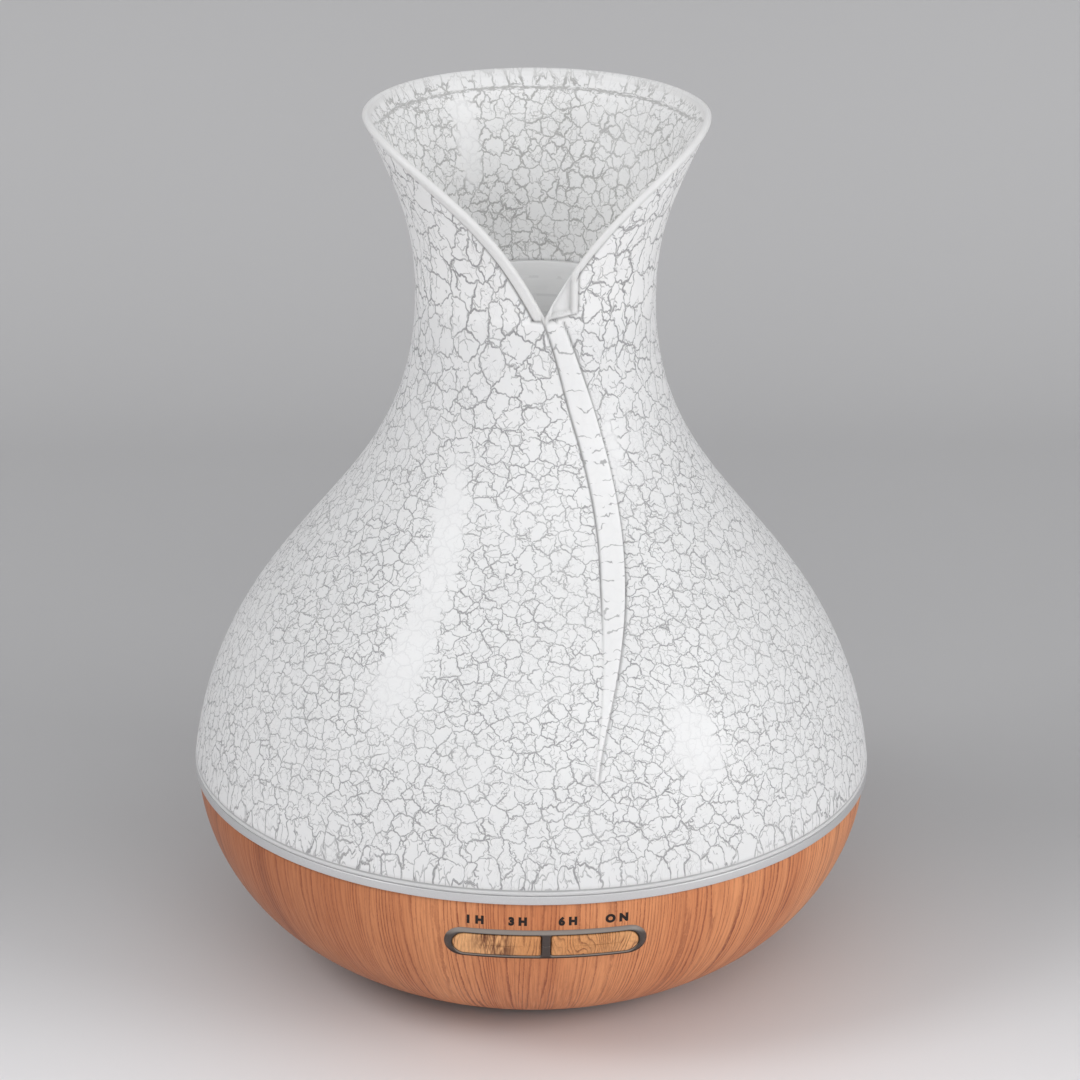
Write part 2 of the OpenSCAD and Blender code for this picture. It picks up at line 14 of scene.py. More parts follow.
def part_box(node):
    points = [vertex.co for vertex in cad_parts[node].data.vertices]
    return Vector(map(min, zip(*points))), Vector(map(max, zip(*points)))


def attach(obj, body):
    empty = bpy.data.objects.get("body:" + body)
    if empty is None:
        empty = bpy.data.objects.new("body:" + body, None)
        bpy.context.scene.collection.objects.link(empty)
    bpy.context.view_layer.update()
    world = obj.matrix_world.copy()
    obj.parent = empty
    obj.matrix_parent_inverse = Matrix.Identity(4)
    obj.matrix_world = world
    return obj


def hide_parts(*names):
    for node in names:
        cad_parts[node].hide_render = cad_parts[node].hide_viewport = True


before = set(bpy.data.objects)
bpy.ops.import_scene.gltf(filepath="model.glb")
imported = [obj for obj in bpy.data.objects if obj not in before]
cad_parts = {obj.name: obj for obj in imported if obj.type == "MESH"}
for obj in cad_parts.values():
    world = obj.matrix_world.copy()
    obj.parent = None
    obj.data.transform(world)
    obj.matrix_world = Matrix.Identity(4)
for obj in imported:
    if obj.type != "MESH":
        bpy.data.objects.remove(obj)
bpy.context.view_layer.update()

MM = 0.001


def box_mm(node):
    """A CAD node's lowest and highest corners in millimetres."""
    low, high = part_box(node)
    return np.array(low) / MM, np.array(high) / MM


# ---- driving sizes, millimetres ----

bowl_low, bowl_high = box_mm("base_shell")
cover_low, cover_high = box_mm("cover")
bezel_low, bezel_high = box_mm("button_bezel")
lid_low, lid_high = box_mm("inner_lid")

BOWL_TOP = bowl_high[2]
BOWL_LOW = bowl_low[2]
BOWL_R = 83.0
BOWL_WALL = 2.5
FOOT_R = 46.0

RING_TOP = cover_low[2]
COVER_TOP = cover_high[2]
COVER_H = COVER_TOP - RING_TOP
COVER_R = cover_high[0]
COVER_WALL = 2.2
NECK_R = 28.9
RIM_R = 41.3
NECK_Z = RING_TOP + COVER_H * 0.7284

# The mouth's edge, in degrees from the V: where it starts to drop, how far the V is turned to
# the right, where the tucked corner ends, and where its bead fades at the back
COLLAR_DROP = 41.9
COLLAR_POWER = 2.15
COLLAR_HALF = 95.0
COLLAR_TURN = 1.8
TUCK_END = 13.6
BACK_FROM, BACK_TO = 102, 132
V_Z = COVER_TOP - COLLAR_DROP
RIM_DROP = 4.7

PANEL_Z = (bezel_low[2] + bezel_high[2]) / 2
BEZEL_W = bezel_high[0] - bezel_low[0]
BEZEL_H = 8.7

# Crackle: the step over which its slope is taken, the least slope kept, and how far up the
# inner wall's own stretch of it lies. The wall's glow is the light that soaks into it.
CRACKLE_STEP = 0.012
FLATTEST = 0.28
INNER_SHIFT = 100.0
WALL_GLOW = 0.62

# Azimuth and height in degrees of the two side lights; 0 is in front, 90 to the right
LEFT_BOX = (-66, 40)
RIGHT_BOX = (60, 20)

BOWL_LINE = np.array([[FOOT_R, BOWL_LOW], [BOWL_R - 3.82, 14.1],
                      [BOWL_R + 0.79, BOWL_TOP - 6.2], [BOWL_R, BOWL_TOP]])
BELLY_LINE = np.array([[COVER_R, RING_TOP], [COVER_R - 6.9, RING_TOP + COVER_H * 0.362],
                       [NECK_R, NECK_Z - COVER_H * 0.333], [NECK_R, NECK_Z]])
FLARE_LINE = np.array([[NECK_R, NECK_Z], [NECK_R, NECK_Z + COVER_H * 0.117],
                       [NECK_R + 4.9, COVER_TOP - COVER_H * 0.11], [RIM_R, COVER_TOP]])


# ---- curves ----

def bezier(line, t):
    """Points of a cubic curve through line[0] and line[3]."""
    t = np.asarray(t)[:, None]
    return ((1 - t) ** 3 * line[0] + 3 * (1 - t) ** 2 * t * line[1]
            + 3 * (1 - t) * t ** 2 * line[2] + t ** 3 * line[3])


def outward(points):
    """Unit normals of an upward-running (r, z) line, pointing away from the axis."""
    step = np.gradient(points, axis=0)
    normal = np.stack([step[:, 1], -step[:, 0]], 1)
    return normal / np.linalg.norm(normal, axis=1)[:, None]


FINE = np.linspace(0, 1, 400)
COVER_LINE = np.vstack([bezier(BELLY_LINE, FINE), bezier(FLARE_LINE, FINE)[1:]])
COVER_NORMAL = outward(COVER_LINE)
BOWL_CURVE = bezier(BOWL_LINE, FINE)


def along(z, line, values):
    """The value that belongs to height z of an (r, z) line."""
    return np.interp(z, line[:, 1], values)


def cover_point(z, depth):
    """(r, z) of a point depth outside the cover's outer surface, found from the height z."""
    out, up = (along(z, COVER_LINE, part) for part in COVER_NORMAL.T)
    return cover_radius(z) + depth * out, z + depth * up


def cover_radius(z):
    return along(z, COVER_LINE, COVER_LINE[:, 0])


def bowl_radius(z):
    return along(z, BOWL_CURVE, BOWL_CURVE[:, 0])


def smooth(x, low, high):
    """0 below low, 1 above high, and a soft step between."""
    t = np.clip((x - low) / (high - low), 0, 1)
    return t * t * (3 - 2 * t)


def fall(x, low, high):
    """1 below low and 0 above high."""
    return smooth(-x, -high, -low)


def bump(x, centre, half):
    """A rounded ridge of height 1."""
    return np.sqrt(np.clip(1 - ((x - centre) / half) ** 2, 0, 1))


def ridge(x, centre, width):
    """A bell of height 1, for grooves and lines."""
    return np.exp(-((x - centre) / width) ** 2)


# ---- mesh helpers ----

def linked(name, data):
    """A new object in the scene."""
    obj = bpy.data.objects.new(name, data)
    bpy.context.scene.collection.objects.link(obj)
    return obj


def new_mesh(name, vertices, faces):
    """A smooth-shaded mesh of points given in millimetres."""
    mesh = bpy.data.meshes.new(name)
    mesh.from_pydata([tuple(v) for v in np.asarray(vertices) * MM], [], faces)
    mesh.polygons.foreach_set("use_smooth", [True] * len(mesh.polygons))
    clean(mesh)
    return mesh


def new_object(name, vertices, faces, body, slot, replaces=None):
    """A visible piece that rides on a body, in place of the CAD node that it replaces."""
    obj = linked(name, new_mesh(name, vertices, faces))
    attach(obj, body)
    if replaces:
        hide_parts(replaces)
    return obj


def dress(obj, look):
    """Gives the object this one material."""
    obj.data.materials.clear()
    obj.data.materials.append(look)


def clean(mesh, join=0.0):
    """Turns the faces outwards, after joining points that are less than join metres apart."""
    bm = bmesh.new()
    bm.from_mesh(mesh)
    if join:
        bmesh.ops.remove_doubles(bm, verts=bm.verts, dist=join)
        bmesh.ops.dissolve_degenerate(bm, edges=bm.edges, dist=join / 10)
    bmesh.ops.recalc_face_normals(bm, faces=bm.faces)
    bm.to_mesh(mesh)
    bm.free()


def final_mesh(obj):
    """The object's mesh with its modifiers applied, or its lettering as a mesh."""
    depsgraph = bpy.context.evaluated_depsgraph_get()
    return bpy.data.meshes.new_from_object(obj.evaluated_get(depsgraph))


def grid_faces(rows, columns, wrap_rows=False):
    """Quads of a grid whose columns close on themselves, stored row by row."""
    faces = []
    for i in range(rows if wrap_rows else rows - 1):
        k = (i + 1) % rows
        for j in range(columns):
            n = (j + 1) % columns
            faces.append((i * columns + j, i * columns + n, k * columns + n, k * columns + j))
    return faces


def tube_faces(loops):
    """Faces of a tube through rings of points, closed at both ends."""
    count, last = len(loops[0]), (len(loops) - 1) * len(loops[0])
    ends = [tuple(range(count)), tuple(range(last, last + count))]
    return grid_faces(len(loops), count) + ends


def revolved(name, profile, body, segments=192, **settings):
    """A closed solid turned from an (r, z) outline."""
    profile = np.asarray(profile, float)
    angle = np.arange(segments) * 2 * math.pi / segments
    r, z = profile[:, 0][:, None], profile[:, 1][:, None]
    points = np.stack([r * np.sin(angle), -r * np.cos(angle), z + 0 * angle], 2).reshape(-1, 3)
    faces = grid_faces(len(profile), segments, wrap_rows=True)
    obj = new_object(name, points, faces, body, **settings)
    weld(obj, 35)
    return obj


def weld(obj, degrees=None):
    """Joins points that coincide, and creases edges that turn by more than the degrees."""
    clean(obj.data, 1e-6)
    if degrees:
        obj.data.set_sharp_from_angle(angle=math.radians(degrees))


def rounded(outline, radius, steps=4):
    """An (r, z) outline with its corners rounded by arcs of about the given radius."""
    outline = [np.array(p, float) for p in outline]
    made = []
    for i, corner in enumerate(outline):
        before, after = outline[i - 1], outline[(i + 1) % len(outline)]
        a, b = before - corner, after - corner
        la, lb = np.linalg.norm(a), np.linalg.norm(b)
        straight = abs(np.dot(a, b) / (la * lb) + 1) < 0.02
        cut_off = min(radius, la * 0.45, lb * 0.45)
        if straight or cut_off < 1e-3:
            made.append(corner)
            continue
        start, end = corner + a / la * cut_off, corner + b / lb * cut_off
        for k in range(steps + 1):
            t = k / steps
            made.append((1 - t) ** 2 * start + 2 * t * (1 - t) * corner + t * t * end)
    return np.array(made)


# ---- shader helpers ----

class Value:
    """What a node gives out. A sum written with it makes the nodes that work the sum out."""

    def __init__(self, shader, socket):
        self.shader, self.socket = shader, socket

    def __add__(self, other):
        return self.shader.math("ADD", self, other)

    def __sub__(self, other):
        return self.shader.math("SUBTRACT", self, other)

    def __rsub__(self, other):
        return self.shader.math("SUBTRACT", other, self)

    def __mul__(self, other):
        return self.shader.math("MULTIPLY", self, other)

    def __truediv__(self, other):
        return self.shader.math("DIVIDE", self, other)


class Shader:
    """A material's node tree, with short calls for the nodes used here."""

    def __init__(self, name):
        self.material = bpy.data.materials.new(name)
        self.material.use_nodes = True
        self.tree = self.material.node_tree
        self.surface = self.tree.nodes["Principled BSDF"]

    def node(self, kind, inputs=None, output=0, **settings):
        """One output of a new node."""
        made = self.tree.nodes.new("ShaderNode" + kind)
        for key, value in settings.items():
            setattr(made, key, value)
        for key, value in (inputs or {}).items():
            self.put(made.inputs[key], value)
        return Value(self, made.outputs[output])

    def put(self, socket, value):
        """Sets an input to a number, a colour or another node's output."""
        if isinstance(value, Value):
            self.tree.links.new(value.socket, socket)
        elif isinstance(value, tuple) and len(value) == 3 and socket.type == "RGBA":
            socket.default_value = (*value, 1.0)
        else:
            socket.default_value = value

    def math(self, operation, a, b=0.0, clamp=False):
        return self.node("Math", {0: a, 1: b}, operation=operation, use_clamp=clamp)

    def most(self, *values):
        """The largest of the values."""
        first, *others = values
        for other in others:
            first = self.math("MAXIMUM", first, other)
        return first

    def length(self, a, b):
        return self.math("SQRT", a * a + b * b)

    def vector(self, operation, a, b=(0.0, 0.0, 0.0), output=0):
        return self.node("VectorMath", {0: a, 1: b}, output, operation=operation)

    def scaled(self, vector, factors):
        return self.vector("MULTIPLY", vector, factors)

    def parts(self, vector):
        """The three numbers of a vector."""
        split = self.node("SeparateXYZ", {0: vector}).socket.node
        return [Value(self, part) for part in split.outputs]

    def mix(self, factor, a, b):
        return self.node("Mix", {0: factor, 6: a, 7: b}, 2, data_type="RGBA")

    def noise(self, vector, scale, detail=2.0, roughness=0.5, output=0):
        return self.node("TexNoise", {"Vector": vector, "Scale": scale, "Detail": detail,
                                      "Roughness": roughness}, output)

    def edges(self, vector, scale):
        """Distance to the nearest edge between cells."""
        return self.node("TexVoronoi", {"Vector": vector, "Scale": scale, "Randomness": 0.88},
                         "Distance", feature="DISTANCE_TO_EDGE")

    def ramp(self, value, low, high, to_low=0.0, to_high=1.0):
        """A soft step from to_low, for values up to low, to to_high, for values over high."""
        return self.node("MapRange", {"Value": value, "From Min": low, "From Max": high,
                                      "To Min": to_low, "To Max": to_high},
                         interpolation_type="SMOOTHSTEP")

    def fade(self, value, low, high):
        return self.ramp(value, low, high, 1.0, 0.0)

    def place(self):
        return self.node("TexCoord", output="Object")

    def facing(self):
        """The direction the surface faces, as three numbers."""
        return self.parts(self.node("NewGeometry", output="Normal"))

    def attribute(self, name, output="Vector"):
        return self.node("Attribute", output=output, attribute_name=name)

    def bump(self, height, distance, strength=1.0):
        return self.node("Bump", {"Height": height, "Distance": distance, "Strength": strength})

    def finish(self, **values):
        """Sets the surface's inputs and gives the material back."""
        for key, value in values.items():
            self.put(self.surface.inputs[key.replace("_", " ")], value)
        return self.material


def toned(colour, factor):
    """The colour made darker or lighter."""
    return tuple(min(1.0, c * factor) for c in colour)


def wear(s, scale=900.0):
    """Fine mottling, 0 to 1, that every moulded or metal surface here carries."""
    return s.noise(s.place(), scale * 0.12, 3.0) * 0.6 + s.noise(s.place(), scale) * 0.4


def plastic(name, colour, roughness=0.45, spread=0.12, grain=0.00003, glow=0.0, coat=0.0):
    """Moulded plastic: mottled colour, uneven gloss and a fine spark-eroded grain."""
    s = Shader(name)
    m = wear(s)
    return s.finish(Base_Color=s.mix(m, toned(colour, 1 - spread), toned(colour, 1 + spread)),
                    Roughness=s.ramp(m, 0.2, 0.8, roughness - 0.08, roughness + 0.1),
                    Subsurface_Weight=glow, Subsurface_Scale=0.004, Coat_Weight=coat,
                    Coat_Roughness=0.15,
                    Normal=s.bump(s.noise(s.place(), 2600.0), grain, 0.6))


def metal(name, colour, roughness=0.3, brushed=(1.0, 1.0, 14.0)):
    """Metal with fine drawn lines and small stains in its gloss."""
    s = Shader(name)
    lines = s.noise(s.scaled(s.place(), brushed), 500.0, 3.0)
    return s.finish(Base_Color=s.mix(lines, toned(colour, 0.82), colour), Metallic=1.0,
                    Roughness=wear(s, 600.0) * 0.22 + (roughness - 0.1),
                    Normal=s.bump(lines, 0.00002, 0.5))


def rubbery(name, colour, roughness=0.7):
    """Rubber or cable sleeve: dull, mottled and finely pitted."""
    s = Shader(name)
    m = wear(s, 1500.0)
    return s.finish(Base_Color=s.mix(m, toned(colour, 0.7), toned(colour, 1.25)),
                    Roughness=s.ramp(m, 0.2, 0.8, roughness - 0.1, roughness + 0.15),
                    Normal=s.bump(s.noise(s.place(), 3000.0, 3.0), 0.00006, 0.7))


# ---- crackle paint ----

def crackle_spots(s, co):
    """Three points close together on the skin, shaken alike so that cracks wander and zigzag."""
    normal = s.attribute("crackle_out")
    aside = s.vector("NORMALIZE", s.vector("CROSS_PRODUCT", normal, (0.05, 0.03, 1.0)))
    upward = s.vector("CROSS_PRODUCT", normal, aside)

    def shake(start, scale, detail, reach):
        away = s.vector("SUBTRACT", s.noise(start, scale, detail, output=1), (0.5,) * 3)
        return s.scaled(away, (reach,) * 3)

    def shaken(start):
        shift = s.vector("ADD", shake(start, 1.3, 1.0, 0.55), shake(start, 3.6, 1.5, 0.40))
        lift = s.vector("DOT_PRODUCT", shift, normal, "Value")
        level = s.node("VectorMath", {0: normal, "Scale": lift}, operation="SCALE")
        return s.vector("ADD", start, s.vector("SUBTRACT", shift, level))

    steps = [s.scaled(way, (CRACKLE_STEP,) * 3) for way in (aside, upward)]
    return [shaken(co)] + [shaken(s.vector("ADD", co, step)) for step in steps]


def across(s, spots, scale, offset):
    """Distance to a crack along the skin; cracks that lie flat in the skin are left out."""
    here, *others = [s.edges(s.vector("ADD", spot, offset), scale) for spot in spots]
    steep = s.length(*[(other - here) / CRACKLE_STEP for other in others])
    flat = FLATTEST * scale
    return here / s.math("MAXIMUM", steep, flat) + s.ramp(steep, flat, 2 * flat, 0.2, 0.0)


def crack(s, distance, width, soft=0.008):
    """1 inside a crack of this width and 0 beside it."""
    return s.fade(distance, width * 0.5, width * 1.2 + soft) * s.ramp(width, 0.002, 0.012)


def side_light_haze(s, co):
    """Where the paint mirrors the two side lights, which wash the cracks out, 0 to 1."""
    mirror = s.parts(s.node("TexCoord", output="Reflection"))
    mirror_turn = s.math("ARCTAN2", mirror[0], mirror[1] * -1.0)
    mirror_lift = s.math("ARCSINE", mirror[2])
    torn = (s.noise(co, 1.6) - 0.5) * 0.9

    def glare(turn, lift, half_wide, half_tall):
        beside = (mirror_turn - math.radians(turn)) / math.radians(half_wide)
        above = (mirror_lift - math.radians(lift)) / math.radians(half_tall)
        return s.fade(s.length(beside, above) + torn, 0.55, 1.15)

    return s.math("MAXIMUM", glare(*LEFT_BOX, 12, 17), glare(*RIGHT_BOX, 12, 13))


def crackle_paint():
    """White top paint split into flakes over a grey undercoat.

    The mesh carries crackle_co, in which a flake is about one unit wide everywhere, and
    crackle_out, the skin's direction there. Its masks are paint (crackle), hem (the band with
    ladder cracks), seam (dark joint lines), frost (bare translucent wall) and rim_gap (distance
    from the crack under the inner rim).
    """
    s = Shader("crackle_paint")
    co = s.attribute("crackle_co")
    paint, hem, seam, frost, rim_gap = [s.attribute(name, "Fac") for name in
                                        ("paint", "hem", "seam", "frost", "rim_gap")]
    spots = crackle_spots(s, co)
    inside_wall = s.math("GREATER_THAN", s.parts(co)[2], INNER_SHIFT - 10.0)
    patch = s.noise(co, 0.55)
    thin = s.noise(co, 1.3, 2.0, 0.6)

    # Cracks of three sizes between the flakes; the main ones are wider in chains
    far = across(s, spots, 0.98, (0.0, 0.0, 0.0))
    near = across(s, spots, 1.9, (11.0, 4.0, -7.0))
    hair = across(s, spots, 3.6, (-5.0, 23.0, 9.0))
    chain = s.fade(s.edges(spots[0], 0.27), 0.03, 0.15) * (inside_wall * 0.9 + 0.35)
    broad = inside_wall * 0.25 + 1.0 + chain
    main_crack = crack(s, far, broad * s.ramp(thin, 0.28, 0.74, 0.020, 0.048))
    main_crack = main_crack * s.ramp(thin, 0.25, 0.5, 0.78, 1.0)
    side_crack = crack(s, near, s.ramp(thin, 0.40, 0.58, 0.0, 0.026)) * 0.75
    hair_crack = crack(s, hair, s.ramp(patch, 0.44, 0.62, 0.0, 0.016)) * 0.26
    field = s.most(main_crack, side_crack, hair_crack) * (1.0 - hem)

    # Ladder rungs on the hem
    rung_z = s.noise(co, 1.1, 1.0) + s.parts(spots[0])[2]
    rungs = s.node("TexVoronoi", {"W": rung_z, "Scale": 1.5, "Randomness": 1.0}, "Distance",
                   feature="DISTANCE_TO_EDGE", voronoi_dimensions="1D")
    ladder = crack(s, rungs, s.ramp(thin, 0.40, 0.58, 0.0, 0.05), 0.02) * 0.8 * hem

    # All that is dark: the cracks, the seams and the crack under the inner rim
    cracks = s.math("ADD", field, ladder, clamp=True) * paint
    cracks = cracks * (1.0 - side_light_haze(s, co) * 0.85)
    cracks = cracks * s.ramp(s.noise(co, 0.2, 1.0), 0.32, 0.52, 0.80, 1.0)
    broken = seam * s.ramp(thin, 0.22, 0.5, 0.72, 1.0)
    jag = (s.noise(co, 2.2, 3.0, 0.65) - 0.5) * 2.6
    rim_crack = s.fade(s.math("ABSOLUTE", jag + rim_gap), 0.14, 0.42) * 0.85
    dark = s.most(cracks, broken, rim_crack)

    # Paint, with specks and greyer flake rims, over the undercoat and the bare wall
    white = s.mix(s.noise(co, 0.16), (0.765, 0.768, 0.766), (0.815, 0.815, 0.813))
    speck = s.ramp(s.noise(co, 13.0, 2.0, 0.7), 0.60, 0.76)
    white = s.mix(speck * 0.10, white, (0.66, 0.67, 0.68))
    # Painted shade: the paint beside the main cracks is greyer, standing in for shade at the flake
    # edges
    white = s.mix(s.fade(far, 0.02, 0.16) * paint * 0.12, white, (0.66, 0.66, 0.67))
    white = s.mix((1.0 - paint) * 0.7, white, (0.62, 0.62, 0.615))
    grey = s.mix(patch, (0.24, 0.24, 0.245), (0.38, 0.38, 0.385))
    grey = s.mix(inside_wall, grey, (0.42, 0.42, 0.415))
    colour = s.mix(dark, s.mix(frost, white, (0.70, 0.705, 0.70)), grey)

    return s.finish(Base_Color=colour, Roughness=dark * 0.3 + s.ramp(patch, 0.3, 0.7, 0.39, 0.47),
                    Subsurface_Weight=WALL_GLOW, Subsurface_Scale=0.005,
                    Subsurface_Radius=(1.0, 0.97, 0.93), Coat_Weight=0.12, Coat_Roughness=0.3,
                    Normal=s.bump(s.noise(co, 2.6, 2.0, 0.6), 0.00022, 0.6))


# ---- printed wood ----

def wood_print(name, tones, pitch=1.35, sway=1.0, streak=0.04, knot=0.0, knot_x=0.0, left_painted_shade=0.0):
    """Pine-like print: each grain line darkens slowly and ends sharply, then the next begins.

    tones are the light, deep and line colours, knot is how dark the knot at knot_x is, and the
    last argument sets how much painted shade darkens the left side. grain_co holds millimetres:
    round the bowl in x and y, and down its side in z.
    """
    light, deep, line = tones
    s = Shader(name)
    co = s.attribute("grain_co")
    x, y, _ = s.parts(co)
    long_co = s.scaled(co, (1.0, 1.0, streak))

    def stretched(share):
        return s.scaled(co, (1.0, 1.0, share))

    turns = s.math("ARCTAN2", x, y) * (round(2 * math.pi * BOWL_R / pitch) / (2 * math.pi))
    turns = turns + s.noise(long_co, 0.045, 2.0, 0.45) * (22.0 * sway)
    turns = turns + s.noise(long_co, 0.16) * (5.0 * sway)
    turns = turns + s.noise(stretched(0.25), 1.1, 2.0, 0.6) * 0.35
    share = s.math("FRACT", turns)
    late = s.math("POWER", s.ramp(share, 0.40, 0.88) * s.fade(share, 0.90, 0.99), 2.2)
    late = late * s.ramp(s.noise(long_co, 0.24), 0.34, 0.62, 0.30, 1.0)
    late = late * s.ramp(s.noise(stretched(0.55), 2.2, 2.0, 0.6), 0.34, 0.52, 0.55, 1.0)

    fibre = s.noise(long_co, 2.6, 3.0, 0.6)
    pores = s.noise(stretched(0.14), 3.2)
    colour = s.mix(s.ramp(s.noise(long_co, 0.06, 3.0, 0.6), 0.32, 0.68), light, deep)
    # Painted shade: the bowl's left side is darkened towards the deep tone, standing in for the lesser
    # light there
    colour = s.mix(s.ramp(x, -75.0, -8.0, left_painted_shade, 0.0), colour, toned(deep, 0.72))
    colour = s.mix(s.ramp(fibre, 0.40, 0.66) * 0.26, colour, line)
    colour = s.mix(late * 0.95, colour, line)
    dark = s.ramp(s.noise(long_co, 0.13, 2.0, 0.4), 0.62, 0.74)
    colour = s.mix(dark * 0.35, colour, toned(line, 0.75))
    colour = s.mix(s.ramp(pores, 0.60, 0.74) * 0.22, colour, toned(line, 0.6))
    if knot:
        spot = s.ramp(s.noise(stretched(0.22), 0.62, 3.0, 0.65), 0.40, 0.60)
        spot = spot * s.fade(s.math("ABSOLUTE", x - knot_x), 2.0, 6.5)
        colour = s.mix(spot * knot, colour, toned(line, 0.8))
    return s.finish(Base_Color=colour, Roughness=s.ramp(fibre, 0.3, 0.7, 0.40, 0.54),
                    Coat_Weight=0.1, Coat_Roughness=0.28, Specular_IOR_Level=0.35,
                    Normal=s.bump(fibre * 0.6 - late * 0.5, 0.00004, 0.5))


# ---- vase cover ----

def wrap_line(z):
    """Distance to the right of the V, in mm along the surface, of the wrap's overlapping edge."""
    known = np.array([[24.4, 9.1], [35, 11.2], [50.5, 14.6], [63, 17.7], [73, 18.5], [87, 15.6],
                      [98, 12.6], [116, 7.2], [123, 4.0]])
    fitted = np.polyfit(known[:, 0], known[:, 1], 5)
    return np.polyval(fitted, np.clip(z - BOWL_TOP, 22, 126))


def hem_width(z):
    """Width of the smooth band along the overlapping edge: widest below the neck."""
    h = z - BOWL_TOP
    return 0.9 + 5.1 * smooth(h, 30, 68) - 1.6 * smooth(h, 98, 124)


def edge_height(a):
    """Height of the mouth's edge at a degrees from the V."""
    share = np.clip(1 - np.abs(a) / COLLAR_HALF, 0, 1)
    return COVER_TOP - COLLAR_DROP * share ** COLLAR_POWER


def edge_lean(a):
    """Cosine of the mouth edge's slope along the surface."""
    step = 0.2
    rise = (edge_height(np.abs(a) + step) - edge_height(np.abs(a))) / math.radians(step)
    return 1 / np.sqrt(1 + (rise / cover_radius(edge_height(a))) ** 2)


def cover_columns(z):
    """Angles from the V of every column at height z: they crowd to the hem's two edges."""
    to_deg = 180 / math.pi / cover_radius(z)
    over = wrap_line(z) * to_deg
    hem = over - hem_width(z) * to_deg
    band = min(1.0, hem_width(z) / 3.0)
    hem_set = hem + np.array([-0.9, -0.5, -0.25, 0.0, 0.25, 0.5]) * band * to_deg
    shares = np.array([band, band, band, 1, 1, 1, 1, 1])
    over_set = over + np.array([-0.9, -0.5, -0.2, -0.05, 0.12, 0.3, 0.6, 1.0]) * shares * to_deg
    left, right = -26.0, 48.0
    near_left = left + (hem_set[0] - left) * (np.arange(56) / 56)
    middle = hem_set[-1] + (over_set[0] - hem_set[-1]) * (np.arange(1, 8) / 8)
    near_right = over_set[-1] + (right - over_set[-1]) * (np.arange(1, 41) / 40) ** 1.35
    back_right = np.linspace(right, 180, 84)[1:]
    back_left = np.linspace(-180, left, 96)[1:-1]
    return np.concatenate([back_left, near_left, hem_set, middle, over_set, near_right, back_right])


def mouth_bead(a, z, drop):
    """Rolled bead along the mouth, wide on the left lapel and narrow on the right one."""
    right_lapel = smooth(a, 0, 1) * fall(a, 60, 150)
    front = fall(np.abs(a), BACK_FROM, BACK_TO)
    left_near = smooth(-a, -1, 0) * smooth(a, -75, -40)
    width = 1.8 - 0.5 * right_lapel + 0.8 * left_near - 0.5 * smooth(np.abs(a), 60, 140)
    on_bead = ~((a > 0) & (a < TUCK_END)) & (z > V_Z - 0.6)
    bead = 0.30 * bump(drop, width * 0.45, width * 0.55) + 0.10 * fall(drop, width * 0.8, width)
    crease = ridge(drop, width * 0.36, 0.24) * right_lapel
    groove = ridge(drop, width + 0.25, 0.30)
    relief = (bead - 0.45 * groove - 0.24 * crease) * (0.25 + 0.75 * front)
    round_front = (1 - 0.65 * smooth(np.abs(a), 45, 100)) * front
    seam = 0.85 * groove * round_front + 0.50 * crease * front
    paint = np.maximum(smooth(drop, width, width + 0.35), 1 - front)
    return on_bead * relief, on_bead * seam, np.where(on_bead, paint, 1)


def tucked_corner(a, z, side):
    """Sunk corner right of the V, closed by an upright bead and a low sill."""
    post = math.radians(TUCK_END) * cover_radius(V_Z + 5)
    corner = smooth(side, 0.05, 0.35) * fall(side, post - 0.8, post - 0.4)
    over_sill = z - V_Z - 1.3 * np.clip(side / post, 0, 1)
    corner = corner * smooth(over_sill, 0.3, 0.8) * (a > 0) * (z > V_Z)
    on_post = smooth(over_sill, -0.5, 0.0) * fall(z, V_Z + 10.5, V_Z + 12.5)
    upright = bump(side, post + 0.15, 0.7) * on_post
    sill = bump(over_sill, 0.05, 0.42) * smooth(side, -0.2, 0.2) * fall(side, post, post + 0.6)
    under = ridge(over_sill, -0.62, 0.28) * smooth(side, -3.6, -3.2)
    under = under * fall(side, post + 0.5, post + 0.9)
    outer_side = ridge(side, post + 1.08, 0.24) * on_post
    inner_side = ridge(side, post - 0.72, 0.24) * on_post
    relief = 0.45 * upright + 0.36 * sill - 1.0 * corner - 0.28 * under - 0.28 * outer_side
    seam = 0.75 * under + 0.75 * outer_side + 0.45 * inner_side
    plain = np.maximum(np.maximum(corner, upright > 0.1), sill > 0.1)
    return relief, seam, 1 - plain, corner


def wrap_hem(z, side):
    """The left flap over the right one, with its hem marked by a groove."""
    h = z - BOWL_TOP
    reach = smooth(h, 23.5, 30)
    there = fall(z, V_Z - 1.2, V_Z - 0.4) * reach
    gap = side - wrap_line(z)
    hem_gap = gap + hem_width(z)
    strong = smooth(h, 52, 66)
    thick = 0.25 + 0.60 * smooth(h, 30, 80)
    flap = np.where(gap < 0, np.exp(np.minimum(gap, 0) / 14.0), fall(gap, 0.0, 0.28))
    over_line = ridge(gap, 0.40, 0.27)
    hem_line = ridge(hem_gap, 0.0, 0.30)
    hem = there * smooth(hem_gap, 0.0, 0.3) * fall(gap, -0.1, 0.05)
    relief = thick * flap - 0.36 * over_line - (0.12 + 0.28 * strong) * hem_line
    seam = (0.5 + 0.5 * smooth(h, 40, 60)) * over_line + (0.18 + 0.75 * strong) * hem_line
    return there * relief + 0.12 * hem, there * seam, hem


